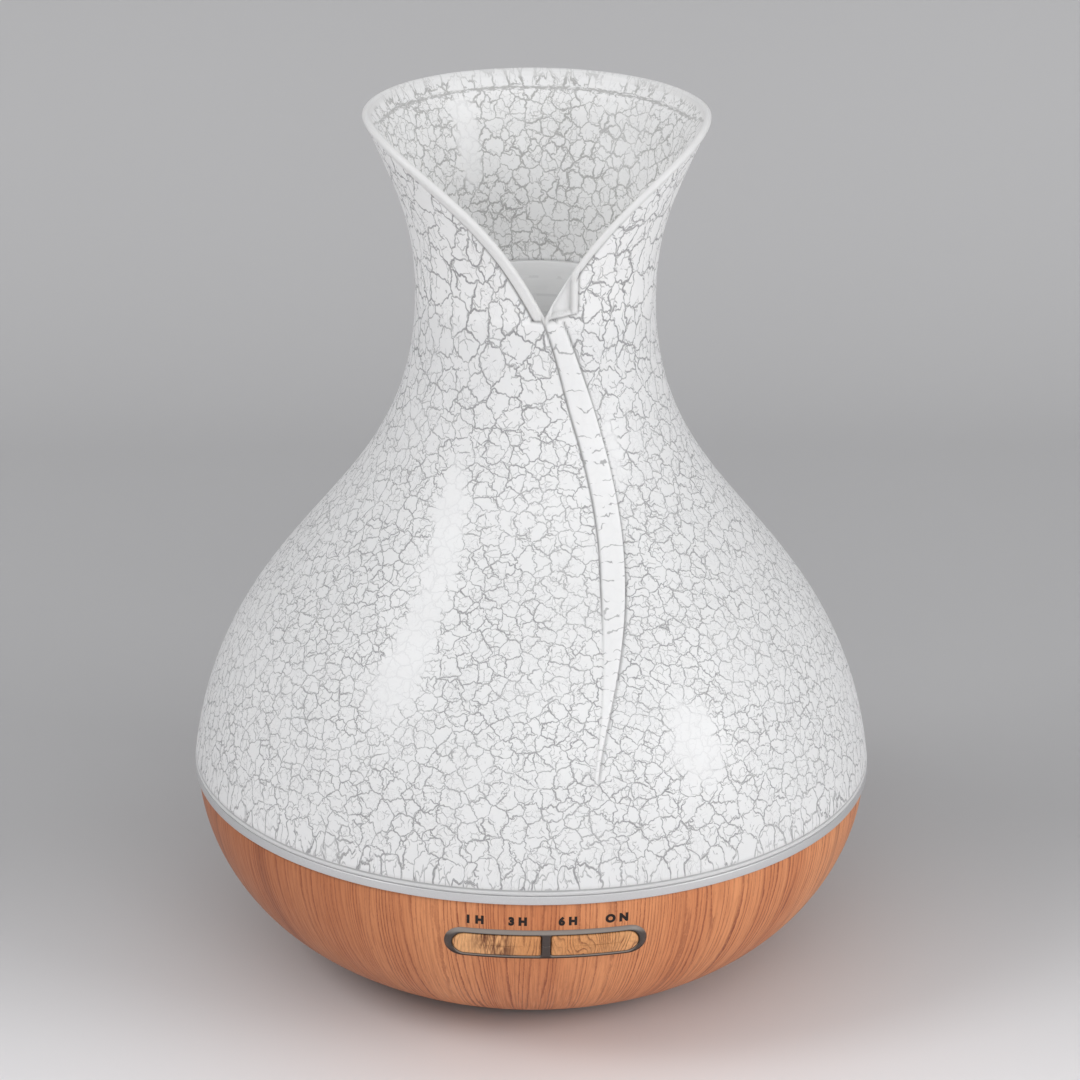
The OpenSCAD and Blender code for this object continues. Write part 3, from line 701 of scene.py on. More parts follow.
def outer_relief(a, z, top, lean):
    """Height of the outer skin over the plain vase in mm, and the masks of the paint."""
    side = np.radians(a) * cover_radius(z)
    bead, bead_seam, bead_paint = mouth_bead(a, z, (top - z) * lean)
    tuck, tuck_seam, tuck_paint, corner = tucked_corner(a, z, side)
    flap, flap_seam, hem = wrap_hem(z, side)
    lip_groove = ridge(z, RING_TOP + 1.30, 0.20)
    lip = 0.30 * lip_groove + 0.5 * fall(z, RING_TOP, RING_TOP + 0.45) ** 2
    seam = bead_seam + tuck_seam + flap_seam + 0.85 * lip_groove
    paint = bead_paint * tuck_paint * smooth(z, RING_TOP + 1.3, RING_TOP + 1.7)
    return bead + tuck + flap - lip, paint, hem, 0.75 * corner, np.clip(seam, 0, 1)


def cell_map(z, inner):
    """(R, U) for heights z: the vase drawn so that a paint flake is one unit wide."""
    h = z - BOWL_TOP
    size = 4.4 + 1.2 * smooth(h, 85, 125) - 0.9 * smooth(h, 8, 30) + 0.4 * smooth(h, 45, 80)
    tall = 1 + 1.5 * fall(h, 5, 11) + 0.35 * smooth(h, 95, 120)
    if inner:
        band = smooth(z, COVER_TOP - 4.9, COVER_TOP - 4.1)
        size = 3.6 + 0.5 * band
        tall = 1 + 1.4 * band + 0.5 * fall(h, 120, 128)
    r = cover_radius(z)
    ratio = r / size
    length = np.hypot(np.gradient(r), np.gradient(z)) / (size * tall)
    rise = np.sqrt(np.clip(length ** 2 - np.gradient(ratio) ** 2, 0.0004, None))
    return ratio, np.cumsum(rise)


class CoverRows:
    """Collects the cover's rows of points, with where they lie in the crackle and its masks."""

    def __init__(self):
        self.z = np.linspace(RING_TOP - 1, COVER_TOP + 1, 600)
        self.maps = [cell_map(self.z, inner) for inner in (False, True)]
        self.points, self.cells, self.normals, self.masks = [], [], [], []

    def add(self, a, z, depth, masks, inner=False, rim_gap=9.0):
        """Adds the row at heights z; masks are the values of paint, hem, frost and seam."""
        z = z + 0 * a
        r, height = cover_point(z, depth)
        turn = np.radians(a + COLLAR_TURN)
        self.points.append(np.stack([r * np.sin(turn), -r * np.cos(turn), height], 1))
        ratio, rise = (np.interp(z, self.z, line) for line in self.maps[inner])
        across, up = (np.interp(z, self.z, np.gradient(line)) for line in self.maps[inner])
        flat = np.radians(a)
        shift = INNER_SHIFT if inner else 0.0
        self.cells.append(np.stack([ratio * np.sin(flat), ratio * np.cos(flat), rise + shift], 1))
        normal = np.stack([up * np.sin(flat), up * np.cos(flat), -across], 1)
        self.normals.append(normal / np.linalg.norm(normal, axis=1)[:, None])
        self.masks.append(np.stack([m + 0 * a for m in (*masks, rim_gap)], 1))


# Rows of points above the shoulder outside, over the edge and inside, and the edge's thinning
UPPER_ROWS = 102
EDGE_STEPS = 8
INNER_ROWS = 56
THIN_EDGE = 0.7


def build_cover():
    """Outer skin from the trim ring up, over the mouth's edge, and down the inner wall."""
    ring_rows = RING_TOP + np.array([0.0, 0.12, 0.45, 0.85, 1.05, 1.2, 1.4, 1.6, 2.3])
    shoulder = BOWL_TOP + 117.5
    low_rows = np.concatenate([ring_rows, np.arange(RING_TOP + 3.2, shoulder - 0.5, 1.16)])
    last = cover_columns(shoulder)
    last[np.argmin(np.abs(last))] = 0.0
    top = edge_height(last)
    lean = edge_lean(last)
    round_h = np.minimum(1.0 / lean, 2.6)
    skin_top = top - round_h

    rows = CoverRows()
    no_edge = np.full(len(last), COVER_TOP * 2)
    for z in low_rows:
        a = cover_columns(z)
        relief, *masks = outer_relief(a, z + 0 * a, no_edge, 1.0)
        rows.add(a, z, relief, masks)
    for share in np.arange(UPPER_ROWS + 1) / UPPER_ROWS:
        z = shoulder + (skin_top - shoulder) * share ** 0.58
        relief, *masks = outer_relief(last, z, top, lean)
        rows.add(last, z, relief, masks)

    edge_relief = outer_relief(last, skin_top, top, lean)[0]
    at_back = smooth(np.abs(last), BACK_FROM, BACK_TO)
    edge_wall = COVER_WALL - THIN_EDGE
    for k in range(1, EDGE_STEPS):
        swing = math.pi * k / EDGE_STEPS
        half = edge_wall / 2 + (edge_relief if k < EDGE_STEPS / 2 else 0)
        depth = -edge_wall / 2 + half * math.cos(swing)
        z = skin_top + round_h * math.sin(swing)
        rows.add(last, z, depth, (0.4 * at_back, 0, 0, 0), inner=True)

    behind = smooth(np.abs(last), 60, 105)
    for share in np.arange(INNER_ROWS + 1) / INNER_ROWS:
        z = skin_top + (shoulder - skin_top) * share ** 1.25
        drop = top - z
        step = 0.55 * smooth(drop, RIM_DROP, RIM_DROP + 0.6) * behind
        near_edge = THIN_EDGE * np.exp(-((skin_top - z) / 2.4) ** 2)
        depth = -COVER_WALL + near_edge - step + 0.55 * behind * smooth(drop, 9, 16)
        paint = np.maximum(smooth(drop, 1.3, 2.2), 0.6 * at_back)
        rim_gap = drop - RIM_DROP + 7 * (1 - behind)
        rows.add(last, z, depth, (paint, 0, 0, 0), inner=True, rim_gap=rim_gap)
    low_inner = np.concatenate([np.linspace(shoulder - 2, BOWL_TOP + 100, 8),
                                np.linspace(BOWL_TOP + 96, RING_TOP, 26)])
    for z in low_inner:
        rows.add(cover_columns(z), z, np.full(len(last), -COVER_WALL), (0, 0, 0.6, 0), inner=True)

    faces = grid_faces(len(rows.points), len(last), wrap_rows=True)
    obj = new_object("vase_cover", np.vstack(rows.points), faces, "cover", replaces="cover",
                     slot="crackle_white")
    set_values(obj, "crackle_co", np.vstack(rows.cells))
    set_values(obj, "crackle_out", np.vstack(rows.normals))
    mask = np.vstack(rows.masks)
    for i, name in enumerate(("paint", "hem", "frost", "seam", "rim_gap")):
        set_values(obj, name, mask[:, i])
    dress(obj, crackle_paint())


def set_values(obj, name, values):
    """Stores a number or a vector on each of the mesh's points."""
    kind, field = ("FLOAT", "value") if values.ndim == 1 else ("FLOAT_VECTOR", "vector")
    made = obj.data.attributes.new(name, kind, "POINT")
    made.data.foreach_set(field, values.astype(np.float32).ravel())


# ---- bowl ----

def grain_coordinates(obj):
    """grain_co: round the bowl in x and y, and down its side in z, in millimetres."""
    co = np.array([v.co for v in obj.data.vertices]) / MM
    angle = np.arctan2(co[:, 0], -co[:, 1])
    length = np.cumsum(np.hypot(*np.gradient(BOWL_CURVE, axis=0).T))
    depth = np.interp(co[:, 2], BOWL_CURVE[:, 1], length)
    set_values(obj, "grain_co", np.stack([BOWL_R * np.sin(angle), BOWL_R * np.cos(angle), depth], 1))


def bowl_surface(x, z, depth):
    """Point on the front of the bowl at x across and z up, depth outside its surface."""
    r = bowl_radius(z) + depth
    return np.stack([x + 0 * z, -np.sqrt(np.maximum(r * r - x * x, 0)), z + 0 * x], -1)


def pad_outline(width, height, corner):
    """(x, z) outline of a bar whose right end is round; corner is its left corners' radius."""
    half_w, half_h = width / 2, height / 2
    arcs = [(-half_w + corner, -half_h + corner, corner, 180, 270, 6),
            (half_w - half_h, 0.0, half_h, -90, 90, 26),
            (-half_w + corner, half_h - corner, corner, 90, 180, 6)]
    straight = 26
    made = []
    for k, (cx, cz, radius, start, end, count) in enumerate(arcs):
        for a in np.radians(np.linspace(start, end, count + 1)):
            made.append((cx + radius * math.cos(a), cz + radius * math.sin(a)))
        if k < 2:
            next_x, next_z, next_r, next_start, _, _ = arcs[k + 1]
            next_a = math.radians(next_start)
            target = np.array([next_x + next_r * math.cos(next_a), next_z + next_r * math.sin(next_a)])
            begin = np.array(made[-1])
            made += [tuple(begin + (target - begin) * i / straight) for i in range(1, straight)]
    return np.array(made)


def capsule(width, height, bend=26, straight=40):
    """(x, z) outline of a bar with round ends."""
    r = height / 2
    centre = width / 2 - r
    right = [(centre + r * math.cos(a), r * math.sin(a))
             for a in np.linspace(-math.pi / 2, math.pi / 2, bend + 1)]
    top = [(centre * (1 - 2 * i / straight), r) for i in range(1, straight)]
    half = np.array(right + top)
    return np.vstack([half, -half])


def cut(obj, tool):
    """Takes the tool's shape out of obj for good."""
    modifier = obj.modifiers.new("cut", "BOOLEAN")
    modifier.operation = "DIFFERENCE"
    modifier.solver = "EXACT"
    modifier.object = tool
    made = final_mesh(obj)
    obj.modifiers.remove(modifier)
    old = obj.data
    obj.data = made
    bpy.data.meshes.remove(old)
    bpy.data.objects.remove(tool)


def cutter(loops):
    """A temporary solid through rings of points."""
    return linked("cutter", new_mesh("cutter", np.vstack(loops), tube_faces(loops)))


def prism(outline, y_from, y_to):
    """A cutter: an (x, z) outline swept along Y."""
    x, z = outline.T
    return cutter([np.stack([x, np.full(len(x), y), z], 1) for y in (y_from, y_to)])


def circle(radius, count, z):
    """(x, z) outline of a round hole on the centre line at height z."""
    a = np.arange(count) * 2 * math.pi / count
    return np.stack([radius * np.cos(a), z + radius * np.sin(a)], 1)


BOWL_WOOD = ((0.74, 0.305, 0.128), (0.55, 0.185, 0.069), (0.22, 0.048, 0.016))
JACK_TUNNEL_R = 4.8
PLATE_R = 44.4
LEDGE_R = 42.8
SEAT_R = 78.2


def build_bowl():
    """The wood-print shell with its foot ring, top seat, button slot and jack tunnel."""
    side = bezier(BOWL_LINE, np.linspace(0, 1, 72))
    side_in = side - outward(side) * BOWL_WALL
    rim = 0.5
    foot = [[PLATE_R, BOWL_LOW + 2.5], [PLATE_R, BOWL_LOW + 0.2], [PLATE_R + 0.3, BOWL_LOW],
            [FOOT_R - 0.4, BOWL_LOW]]
    top = [[BOWL_R - 0.05, BOWL_TOP - rim], [BOWL_R - 0.2, BOWL_TOP - 0.12], [BOWL_R - rim, BOWL_TOP],
           [BOWL_R - BOWL_WALL, BOWL_TOP]]
    seat = [[side_in[-1, 0], BOWL_TOP - 2], [SEAT_R, BOWL_TOP - 2], [SEAT_R, BOWL_TOP - 4],
            [bowl_radius(BOWL_TOP - 4) - BOWL_WALL, BOWL_TOP - 4]]
    inner = side_in[(side_in[:, 1] > BOWL_LOW + 4.2) & (side_in[:, 1] < BOWL_TOP - 4.3)][::-1]
    ledge = [[LEDGE_R, inner[-1, 1]], [LEDGE_R, BOWL_LOW + 2.5]]
    outer = side[1:-1][side[1:-1, 1] < BOWL_TOP - rim - 0.1]
    outline = np.vstack([foot, outer, top, seat, inner, ledge])
    obj = revolved("wood_bowl", outline, "base", segments=320, replaces="base_shell",
                   slot="wood_print")
    cut(obj, prism(capsule(BEZEL_W - 1, BEZEL_H - 1) + [0, PANEL_Z], -100, -60))
    jack_low, jack_high = box_mm("dc_jack")
    jack_z = (jack_low[2] + jack_high[2]) / 2
    cut(obj, prism(circle(JACK_TUNNEL_R, 48, jack_z), jack_high[1], 100))
    weld(obj, 38)
    grain_coordinates(obj)
    dress(obj, wood_print("wood_bowl", BOWL_WOOD, left_painted_shade=0.85))


# ---- button panel ----

PAD_GAP = 0.08
PAD_CORNER = 0.55
light_low, light_high = box_mm("light_button")
PAD_LEFT = light_low[0]
PAD_W = light_high[0] - PAD_LEFT
PAD_H = BEZEL_H - 2.3 - 0.4
PAD_MID = (light_high[0] + PAD_LEFT) / 2
PAD_WOOD = ((0.84, 0.44, 0.19), (0.66, 0.29, 0.105), (0.17, 0.050, 0.014))

LABEL_DROP = 4.85
LABEL_SIZE = 2.85
LABELS = (("mark_1h", "1 H", -16.7), ("mark_3h", "3 H", -6.7), ("mark_6h", "6 H", 5.0),
          ("mark_on", "O N", 16.5))


def on_bowl(levels, outline, centre_x=0, mirror=1):
    """Rings on the bowl's front: levels are (inset, depth outside the bowl), and outline gives
    the (x, z) outline for an inset."""
    rings = []
    for inset, depth in levels:
        x, z = outline(inset).T
        rings.append(bowl_surface(mirror * (x + centre_x), z + PANEL_Z, depth))
    return rings


def build_bezel():
    """The dark frame with its rounded face, and a pocket for each pad."""
    levels = [(0.55, -1.6), (0.55, -0.2), (0.05, -0.16), (0.0, -0.08), (0.04, 0.08), (0.30, 0.38),
              (0.60, 0.66), (0.90, 0.88), (1.08, 0.95)]
    levels += [(inset, 0.97) for inset in (1.25, 1.7, 2.4, 3.2, 3.9, 4.25)]
    pocket = [(0.0, -8.0), (0.0, 0.42), (-0.03, 0.58), (-0.10, 0.72), (-0.20, 0.83),
              (-0.36, 0.93), (-0.36, 3.0)]

    def frame_outline(inset):
        return capsule(BEZEL_W - 2 * inset, BEZEL_H - 2 * inset)

    def pocket_outline(inset):
        size = 2 * (PAD_GAP - inset)
        return pad_outline(PAD_W + size, PAD_H + size, PAD_CORNER - inset)

    loops = on_bowl(levels, frame_outline)
    obj = new_object("bezel", np.vstack(loops), tube_faces(loops), "base",
                     replaces="button_bezel", slot="dark_trim")
    weld(obj)
    for mirror in (1, -1):
        cut(obj, cutter(on_bowl(pocket, pocket_outline, PAD_MID, mirror)))
    weld(obj, 45)
    dress(obj, bezel_paint())


def bezel_paint():
    """Smoke-brown satin plastic whose upward faces are painted lighter, a painted sheen of the light
    from above.
    """
    s = Shader("bezel_smoke")
    grit = s.noise(s.place(), 2600.0)
    up = s.facing()[2]
    colour = s.mix(s.noise(s.place(), 160.0, 3.0), (0.040, 0.028, 0.024), (0.062, 0.045, 0.038))
    # Painted sheen: faces that turn upward get a lighter colour, standing in for the light from above
    colour = s.mix(s.ramp(up, 0.05, 0.45) * 0.8, colour, (0.27, 0.24, 0.215))
    return s.finish(Base_Color=colour, Roughness=s.ramp(grit, 0.3, 0.7, 0.40, 0.50),
                    Specular_IOR_Level=s.ramp(up, -0.65, -0.25, 0.03, 0.5),
                    Normal=s.bump(grit, 0.00001, 0.5))


def build_pad(name, node, mirror, look):
    """A push pad with a crowned face."""
    levels = [(0.0, -2.4), (0.0, 0.35), (0.04, 0.58), (0.14, 0.76), (0.32, 0.88), (0.6, 0.94),
              (1.0, 0.97), (1.6, 1.0), (2.2, 1.02), (2.7, 1.03), (2.9, 1.03)]

    def outline(inset):
        return pad_outline(PAD_W - 2 * inset, PAD_H - 2 * inset, max(PAD_CORNER - inset, 0.04))

    loops = on_bowl(levels, outline, PAD_MID, mirror)
    obj = new_object(name, np.vstack(loops), tube_faces(loops), node, replaces=node,
                     slot="wood_print")
    weld(obj, 50)
    grain_coordinates(obj)
    dress(obj, look)


def build_label(name, text, centre_x, ink):
    """Printed lettering, a hair proud of the bowl."""
    curve = bpy.data.curves.new(name, "FONT")
    curve.body = text
    curve.size = LABEL_SIZE
    curve.space_character = 1.08
    curve.align_x, curve.align_y = "CENTER", "CENTER"
    curve.offset = 0.2
    curve.extrude = 0.03
    curve.resolution_u = 6
    holder = linked(name, curve)
    mesh = final_mesh(holder)
    bpy.data.objects.remove(holder)
    co = np.array([v.co for v in mesh.vertices])
    placed = bowl_surface(centre_x + co[:, 0] * 0.95, BOWL_TOP - LABEL_DROP + co[:, 1],
                          0.02 + co[:, 2])
    for vertex, point in zip(mesh.vertices, placed * MM):
        vertex.co = point
    clean(mesh)
    obj = linked(name, mesh)
    weld(obj)
    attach(obj, "base")
    dress(obj, ink)


# ---- ring, lid and tank details ----

RING_R = 76
RING_TONGUE = 3
LID_R = 70
LID_WALL = 1.8
LID_CHIMNEY_R = 18
FILL_LINE_R = 66.0


def build_ring():
    """The trim ring, with the tongue that holds the cover inside."""
    wall = COVER_R - COVER_WALL
    outline = [[RING_R, BOWL_TOP], [COVER_R, BOWL_TOP], [COVER_R, RING_TOP], [wall - 0.6, RING_TOP],
               [wall - 0.6, RING_TOP + RING_TONGUE], [wall - 2.4, RING_TOP + RING_TONGUE],
               [wall - 2.4, RING_TOP], [RING_R, RING_TOP]]
    obj = revolved("silver_ring", rounded(outline, 0.35), "base", segments=256,
                   replaces="trim_ring", slot="satin_silver")
    dress(obj, satin_silver())


def satin_silver():
    """Silver paint: fine metal flakes in a satin coat."""
    s = Shader("satin_silver")
    flakes = s.noise(s.place(), 5200.0, 1.0)
    cloud = s.noise(s.place(), 60.0, 3.0)
    colour = s.mix(flakes, (0.52, 0.52, 0.525), (0.66, 0.66, 0.665))
    colour = s.mix(cloud * 0.3, colour, (0.50, 0.50, 0.51))
    return s.finish(Base_Color=colour, Metallic=0.55, Roughness=s.ramp(cloud, 0.3, 0.7, 0.34, 0.44),
                    Coat_Weight=0.3, Coat_Roughness=0.3, Normal=s.bump(flakes, 0.00001, 0.4))


def build_lid():
    """The splash lid: skirt, dome and chimney."""
    low, top = lid_low[2], lid_high[2]
    line = np.array([[66.0, 7], [50, 13], [24, 17], [LID_CHIMNEY_R, 33]]) + [0, low]
    dome = bezier(line, np.linspace(0, 1, 28))
    under = (dome - outward(dome) * LID_WALL)[::-1]
    bore = LID_CHIMNEY_R - LID_WALL
    chimney = [[LID_CHIMNEY_R, top - 0.5], [17.8, top - 0.1], [17.3, top], [16.7, top],
               [16.3, top - 0.1], [bore, top - 0.5]]
    skirt_out = [[LID_R - 0.8, low], [LID_R - 0.2, low + 0.2], [LID_R, low + 0.8],
                 [LID_R, low + 5.6], [LID_R - 0.4, low + 6.4], [LID_R - 1.1, low + 6.9]]
    skirt_in = [[LID_R - 3.0, low + 5.0], [LID_R - 1.8, low + 5.0], [LID_R - 1.6, low + 4.7],
                [LID_R - 1.6, low + 0.3], [LID_R - 1.4, low]]
    under = under[(under[:, 1] > low + 5.2) & (under[:, 0] >= bore)]
    outline = np.vstack([skirt_out, dome, chimney, under, skirt_in])
    obj = revolved("splash_lid", outline, "inner_lid", replaces="inner_lid", slot="frosted_lid")
    dress(obj, FROSTED)


def build_fill_mark():
    """A raised line at the fill level inside the tank, at the back."""
    level = BOWL_TOP + 1.5
    section = [(0.12, -0.45), (-0.28, -0.32), (-0.36, 0.0), (-0.28, 0.32), (0.12, 0.45)]
    loops = []
    for a in np.radians(np.linspace(-16, 16, 33)):
        loops.append([((FILL_LINE_R + dr) * math.sin(a), (FILL_LINE_R + dr) * math.cos(a), level + dz)
                      for dr, dz in section])
    obj = new_object("fill_mark", np.vstack(loops), tube_faces(loops), "base", slot="tank_white")
    weld(obj, 50)
    dress(obj, TANK_WHITE)


# ---- looks of the carried nodes ----

def circuit(name, board, trace):
    """Solder mask over copper tracks, with tinned pads."""
    s = Shader(name)
    place = s.place()
    black, white = (0.0, 0.0, 0.0), (1.0, 1.0, 1.0)
    straight = s.node("TexBrick", {"Vector": place, "Scale": 330.0, "Mortar Size": 0.05,
                                   "Color1": black, "Color2": black, "Mortar": white}, "Fac")
    dots = s.node("TexVoronoi", {"Vector": place, "Scale": 300.0, "Randomness": 0.5}, "Distance")
    pads = s.fade(dots, 0.16, 0.20)
    lines = straight * s.ramp(s.edges(place, 260.0), 0.05, 0.3)
    colour = s.mix(s.noise(place, 400.0), board, toned(board, 0.7))
    colour = s.mix(lines * 0.6, colour, trace)
    colour = s.mix(pads, colour, (0.62, 0.61, 0.58))
    return s.finish(Base_Color=colour, Roughness=s.ramp(pads, 0.0, 1.0, 0.35, 0.25),
                    Metallic=pads * 0.9, Normal=s.bump(lines + pads, 0.00004, 0.6))


def stripes(s, length, per_metre):
    """Distance from the middle of the nearest stripe, 0 to 0.5, for stripes laid along length."""
    return s.math("ABSOLUTE", s.math("FRACT", length * per_metre) - 0.5)


def winding(name, colour, turns=2600.0):
    """Enamelled wire laid round a core."""
    s = Shader(name)
    row = stripes(s, s.parts(s.place())[2], turns)
    # Painted shade: a darker stripe with each turn of wire, standing in for the shade between the
    # turns
    tone = s.mix(row, toned(colour, 0.4), colour)
    tone = s.mix(wear(s, 1200.0) * 0.3, tone, toned(colour, 0.6))
    return s.finish(Base_Color=tone, Metallic=0.8, Roughness=0.34, Normal=s.bump(row, 0.0001, 0.9))


def frosted(name, colour, glow=0.35, rings=0.0):
    """Frosted translucent plastic with soft cloudy flow marks, and fine rings if asked for."""
    s = Shader(name)
    place = s.place()
    fine = s.noise(place, 2400.0)
    flow = s.noise(s.scaled(place, (1.0, 1.0, 7.0)), 120.0, 2.0)
    tone = s.mix(s.noise(place, 45.0, 3.0), toned(colour, 0.93), colour)
    tone = s.mix(s.ramp(flow, 0.5, 0.7) * 0.15, tone, toned(colour, 0.8))
    height = fine
    if rings:
        turned = s.math("FRACT", s.parts(place)[2] * rings)
        groove = s.ramp(turned, 0.80, 0.90) * s.ramp(s.noise(place, 420.0), 0.42, 0.55)
        # Painted shade: the ring grooves are darkened, standing in for the shade in them
        tone = s.mix(groove * 0.35, tone, toned(colour, 0.62))
        height = fine - groove
    return s.finish(Base_Color=tone, Roughness=s.ramp(fine, 0.3, 0.7, 0.38, 0.52),
                    Subsurface_Weight=glow, Subsurface_Scale=0.004,
                    Subsurface_Radius=(1.0, 0.98, 0.95), Normal=s.bump(height, 0.00003, 0.5))


def flat_cable():
    """Grey ribbon of parallel cores."""
    s = Shader("flat_cable")
    core = stripes(s, s.parts(s.place())[0], 1000.0)
    # Painted shade: the grooves between the cores are darker, standing in for the shade in them
    tone = s.mix(s.ramp(core, 0.25, 0.5), (0.55, 0.55, 0.56), (0.30, 0.30, 0.32))
    tone = s.mix(wear(s) * 0.25, tone, (0.42, 0.42, 0.43))
    return s.finish(Base_Color=tone, Roughness=0.5, Normal=s.bump(core, 0.0002, -0.8))


def lens(name, colour):
    """Clear resin over a phosphor."""
    s = Shader(name)
    m = wear(s)
    return s.finish(Base_Color=s.mix(m, colour, toned(colour, 0.85)), Roughness=0.2,
                    Transmission_Weight=0.5, Coat_Weight=0.5, Normal=s.bump(m, 0.00001, 0.4))


def capacitor():
    """Dark sleeve with a pale stripe, and a bare can on top."""
    s = Shader("capacitor_can")
    facing = s.facing()
    top = s.ramp(facing[2], 0.85, 0.95)
    sleeve = s.mix(wear(s), (0.012, 0.016, 0.055), (0.02, 0.026, 0.085))
    tone = s.mix(s.ramp(facing[0], 0.86, 0.90) * 0.8, sleeve, (0.45, 0.46, 0.50))
    tone = s.mix(top, tone, (0.62, 0.62, 0.63))
    return s.finish(Base_Color=tone, Metallic=top, Roughness=0.32,
                    Normal=s.bump(wear(s, 1500.0), 0.00002, 0.5))


TANK_WHITE = plastic("tank_white", (0.80, 0.80, 0.79), 0.32, spread=0.04, glow=0.15, coat=0.2)
FROSTED = frosted("frosted_lid", (0.80, 0.81, 0.81))

# The CAD nodes that stay visible, by look
CARRIED = {
    "water_tank": TANK_WHITE,
    "neck_liner": frosted("frosted_liner", (0.90, 0.90, 0.895), 0.6, rings=210.0),
    "bottom_plate": plastic("plate_grey", (0.16, 0.13, 0.11), 0.5, grain=0.00008),
    "bottom_screws clamp_screws board_screws fan_screws led_board_screws control_board_screws":
        metal("screw_steel", (0.62, 0.62, 0.61), 0.32),
    "transducer_disc": metal("piezo_metal", (0.74, 0.73, 0.70), 0.26, (1.0, 9.0, 1.0)),
    "transducer_seal": rubbery("silicone", (0.78, 0.78, 0.77), 0.55),
    "transducer_clamp": plastic("clamp_plastic", (0.62, 0.62, 0.61)),
    "rubber_feet": rubbery("foot_rubber", (0.045, 0.043, 0.042)),
    "transducer_wires jack_wires": rubbery("red_wire", (0.55, 0.05, 0.04), 0.45),
    "fan_wires": rubbery("black_wire", (0.03, 0.03, 0.03), 0.45),
    "led_wires": rubbery("yellow_wire", (0.75, 0.50, 0.08), 0.45),
    "control_ribbon": flat_cable(),
    "main_board control_board": circuit("circuit_green", (0.02, 0.17, 0.07), (0.05, 0.32, 0.13)),
    "led_boards": circuit("circuit_white", (0.80, 0.80, 0.79), (0.70, 0.70, 0.69)),
    "leds timer_leds": lens("led_lens", (0.85, 0.80, 0.52)),
    "capacitors": capacitor(),
    "coil fan_stator": winding("copper_winding", (0.72, 0.30, 0.12)),
    "driver_chips switch_bodies dc_jack mist_plunger light_plunger":
        plastic("black_part", (0.022, 0.022, 0.024), 0.4, spread=0.3),
    "connectors": plastic("connector_nylon", (0.78, 0.74, 0.64), 0.42),
    "heat_sink": metal("sink_aluminium", (0.68, 0.68, 0.69), 0.35, (1.0, 20.0, 1.0)),
    "fan_housing fan_rotor": plastic("fan_black", (0.028, 0.028, 0.03), 0.34, spread=0.25, coat=0.2),
    "fan_bearing": metal("bush_bronze", (0.60, 0.40, 0.18), 0.4, (3.0, 3.0, 3.0)),
    "fan_shaft": metal("shaft_steel", (0.72, 0.72, 0.72), 0.2, (1.0, 1.0, 30.0)),
    "fan_gasket": rubbery("foam", (0.10, 0.10, 0.10), 0.95),
    "dc_jack_pin": metal("pin_brass", (0.78, 0.60, 0.28), 0.24),
}


def dress_carried():
    """Gives the CAD nodes that stay visible their materials."""
    for nodes, look in CARRIED.items():
        for node in nodes.split():
            dress(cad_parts[node], look)


# ---- stage, light and camera ----

# Camera: degrees, millimetres, and the shift as a share of the picture's width
CAMERA_TURN = -2.7
CAMERA_AWAY = 906.96
CAMERA_UP = 459.1
CAMERA_PITCH = 21.24
CAMERA_ROLL = 0.52
CAMERA_LENS = 132.0
CAMERA_SHIFT = 6.72 / 1080

# Light: metres, watts, and the room's even strength
LIGHT_AIM = Vector((0, 0, 0.110))
ROOM_LIGHT = 0.66
NECK_GLOW = 0.0056


def build_camera():
    camera = linked("camera", bpy.data.cameras.new("camera"))
    turn = math.radians(CAMERA_TURN)
    back = Vector((math.sin(turn), -math.cos(turn), 0))
    camera.location = (back * CAMERA_AWAY + Vector((0, 0, CAMERA_UP))) * MM
    camera.data.sensor_width = 36.0
    camera.data.lens = CAMERA_LENS
    pitch = math.radians(CAMERA_PITCH)
    look = -back * math.cos(pitch) + Vector((0, 0, -math.sin(pitch)))
    turned = look.to_track_quat("-Z", "Y").to_matrix().to_4x4()
    roll = Matrix.Rotation(math.radians(CAMERA_ROLL), 4, "Z")
    camera.rotation_euler = (turned @ roll).to_euler()
    camera.data.shift_x = CAMERA_SHIFT
    camera.data.clip_start, camera.data.clip_end = 0.05, 20
    bpy.context.scene.camera = camera


def area_light(name, azimuth, height, distance, size, power):
    """A soft box that faces the object: azimuth 0 is in front, 90 is to the right."""
    data = bpy.data.lights.new(name, "AREA")
    data.shape = "RECTANGLE"
    data.size, data.size_y = size
    data.energy = power
    lamp = linked(name, data)
    a, e = math.radians(azimuth), math.radians(height)
    away = Vector((math.sin(a) * math.cos(e), -math.cos(a) * math.cos(e), math.sin(e)))
    lamp.location = LIGHT_AIM + away * distance
    lamp.rotation_mode = "QUATERNION"
    lamp.rotation_quaternion = (-away).to_track_quat("-Z", "Y")


def build_stage():
    """A pale sweep, in metres: floor, curved corner and wall behind the object. It is clear
    from behind and from below, so that it never hides the object."""
    half, front, behind, corner, tall = 3.0, -1.6, 0.52, 0.16, 2.6
    arc = [(behind - corner + corner * math.sin(a), corner - corner * math.cos(a))
           for a in np.linspace(0, math.pi / 2, 14)]
    side = [(front, 0.0), (-0.4, 0.0), (0.1, 0.0)] + arc + [(behind, tall)]
    points = [(x, y, z) for x in (-half, half) for y, z in side]
    n = len(side)
    faces = [(i, n + i, n + i + 1, i + 1) for i in range(n - 1)]
    mesh = bpy.data.meshes.new("studio_sweep")
    mesh.from_pydata(points, [], faces)
    mesh.polygons.foreach_set("use_smooth", [True] * len(mesh.polygons))
    sweep = linked("studio_sweep", mesh)
    dress(sweep, studio_paper())


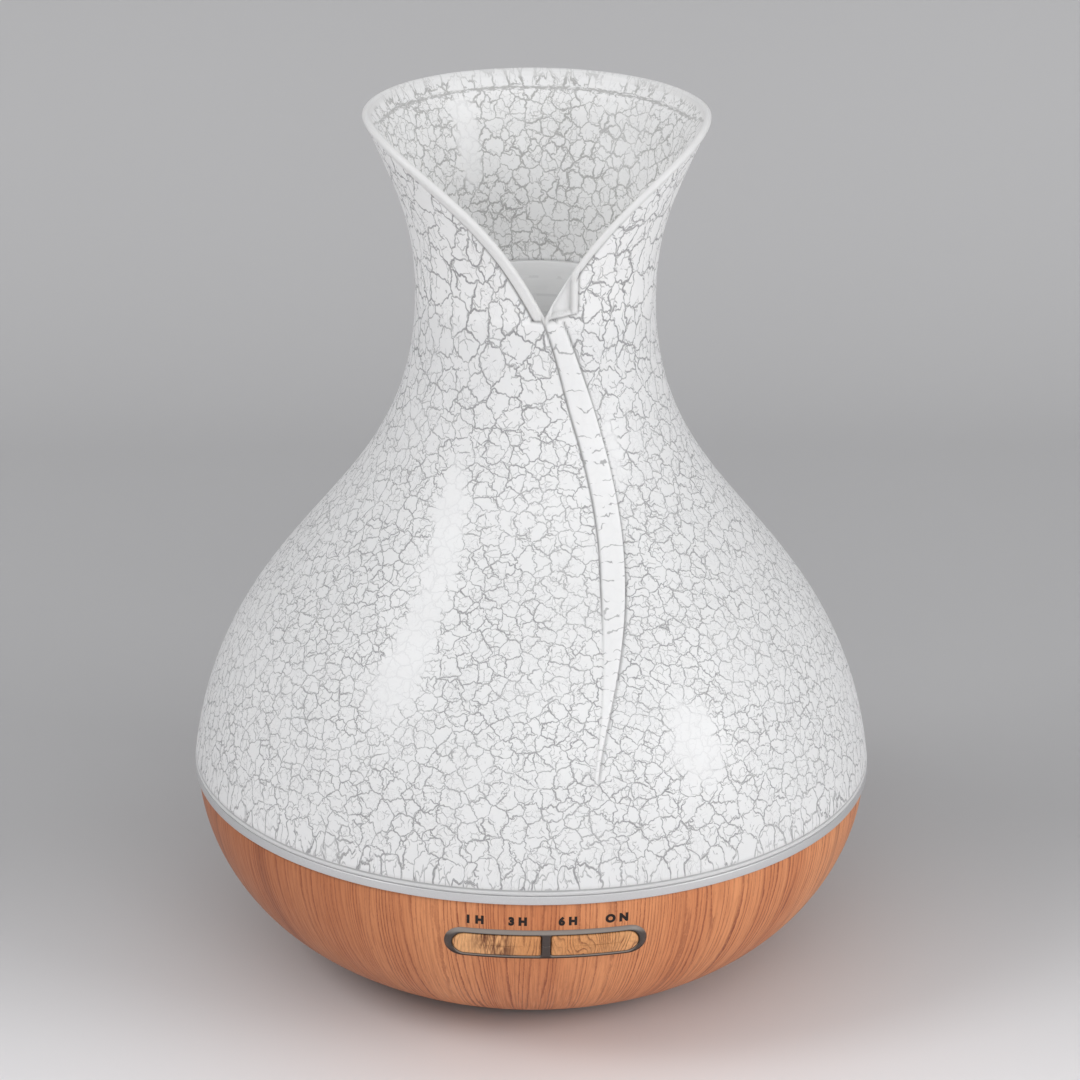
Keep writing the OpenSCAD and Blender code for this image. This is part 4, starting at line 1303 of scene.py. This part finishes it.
def studio_paper():
    """Paper, pale in front and greyer behind as painted light falloff, that only its front side shows.
    """
    s = Shader("studio_paper")
    cloud = s.noise(s.place(), 2.0, 3.0)
    depth = s.parts(s.place())[1]
    # Painted light: the paper is pale near the camera and grey towards the wall, standing in for the
    # fall of the light
    far = s.mix(cloud, (0.46, 0.46, 0.465), (0.49, 0.49, 0.495))
    near = s.mix(cloud, (0.93, 0.92, 0.93), (0.96, 0.95, 0.96))
    s.finish(Base_Color=s.mix(s.ramp(depth, -0.17, 0.08), near, far), Roughness=0.75,
             Normal=s.bump(s.noise(s.place(), 900.0), 0.00003, 0.4))
    one_sided = s.node("MixShader", {0: s.node("NewGeometry", output="Backfacing"),
                                     1: Value(s, s.surface.outputs[0]),
                                     2: s.node("BsdfTransparent")})
    s.put(s.tree.nodes["Material Output"].inputs["Surface"], one_sided)
    return s.material


def build_light():
    """An even room, three soft boxes, and a faint lamp for the light in the neck."""
    world = bpy.data.worlds.new("soft_room")
    world.use_nodes = True
    background = world.node_tree.nodes["Background"].inputs
    background["Color"].default_value = (0.985, 0.985, 1.0, 1)
    background["Strength"].default_value = ROOM_LIGHT
    bpy.context.scene.world = world
    bpy.context.scene.view_settings.view_transform = "Standard"
    area_light("right_box", *RIGHT_BOX, 1.2, (0.52, 0.52), 4.0)
    area_light("left_box", *LEFT_BOX, 1.3, (0.40, 0.54), 3.9)
    area_light("front_box", 6, 32, 1.5, (1.1, 0.8), 3.6)
    glow = linked("neck_glow", bpy.data.lights.new("neck_glow", "POINT"))
    glow.data.energy = NECK_GLOW
    glow.data.shadow_soft_size = 0.008
    glow.location = (0, -0.002, 0.161)
    glow.visible_camera = False


# ---- build ----

build_cover()
build_bowl()
build_ring()
build_bezel()
build_pad("mist_pad", "mist_button", -1,
          wood_print("wood_pad_left", PAD_WOOD, pitch=1.0, sway=1.6, streak=0.16, knot=1.0,
                     knot_x=-12.5))
build_pad("light_pad", "light_button", 1,
          wood_print("wood_pad_right", PAD_WOOD, pitch=0.8, sway=2.2, streak=0.30, knot=0.2,
                     knot_x=14.0))
label_ink = plastic("label_ink", (0.012, 0.005, 0.003), 0.8, spread=0.3)
for name, text, centre_x in LABELS:
    build_label(name, text, centre_x, label_ink)
build_lid()
build_fill_mark()
dress_carried()
build_stage()
build_light()
build_camera()
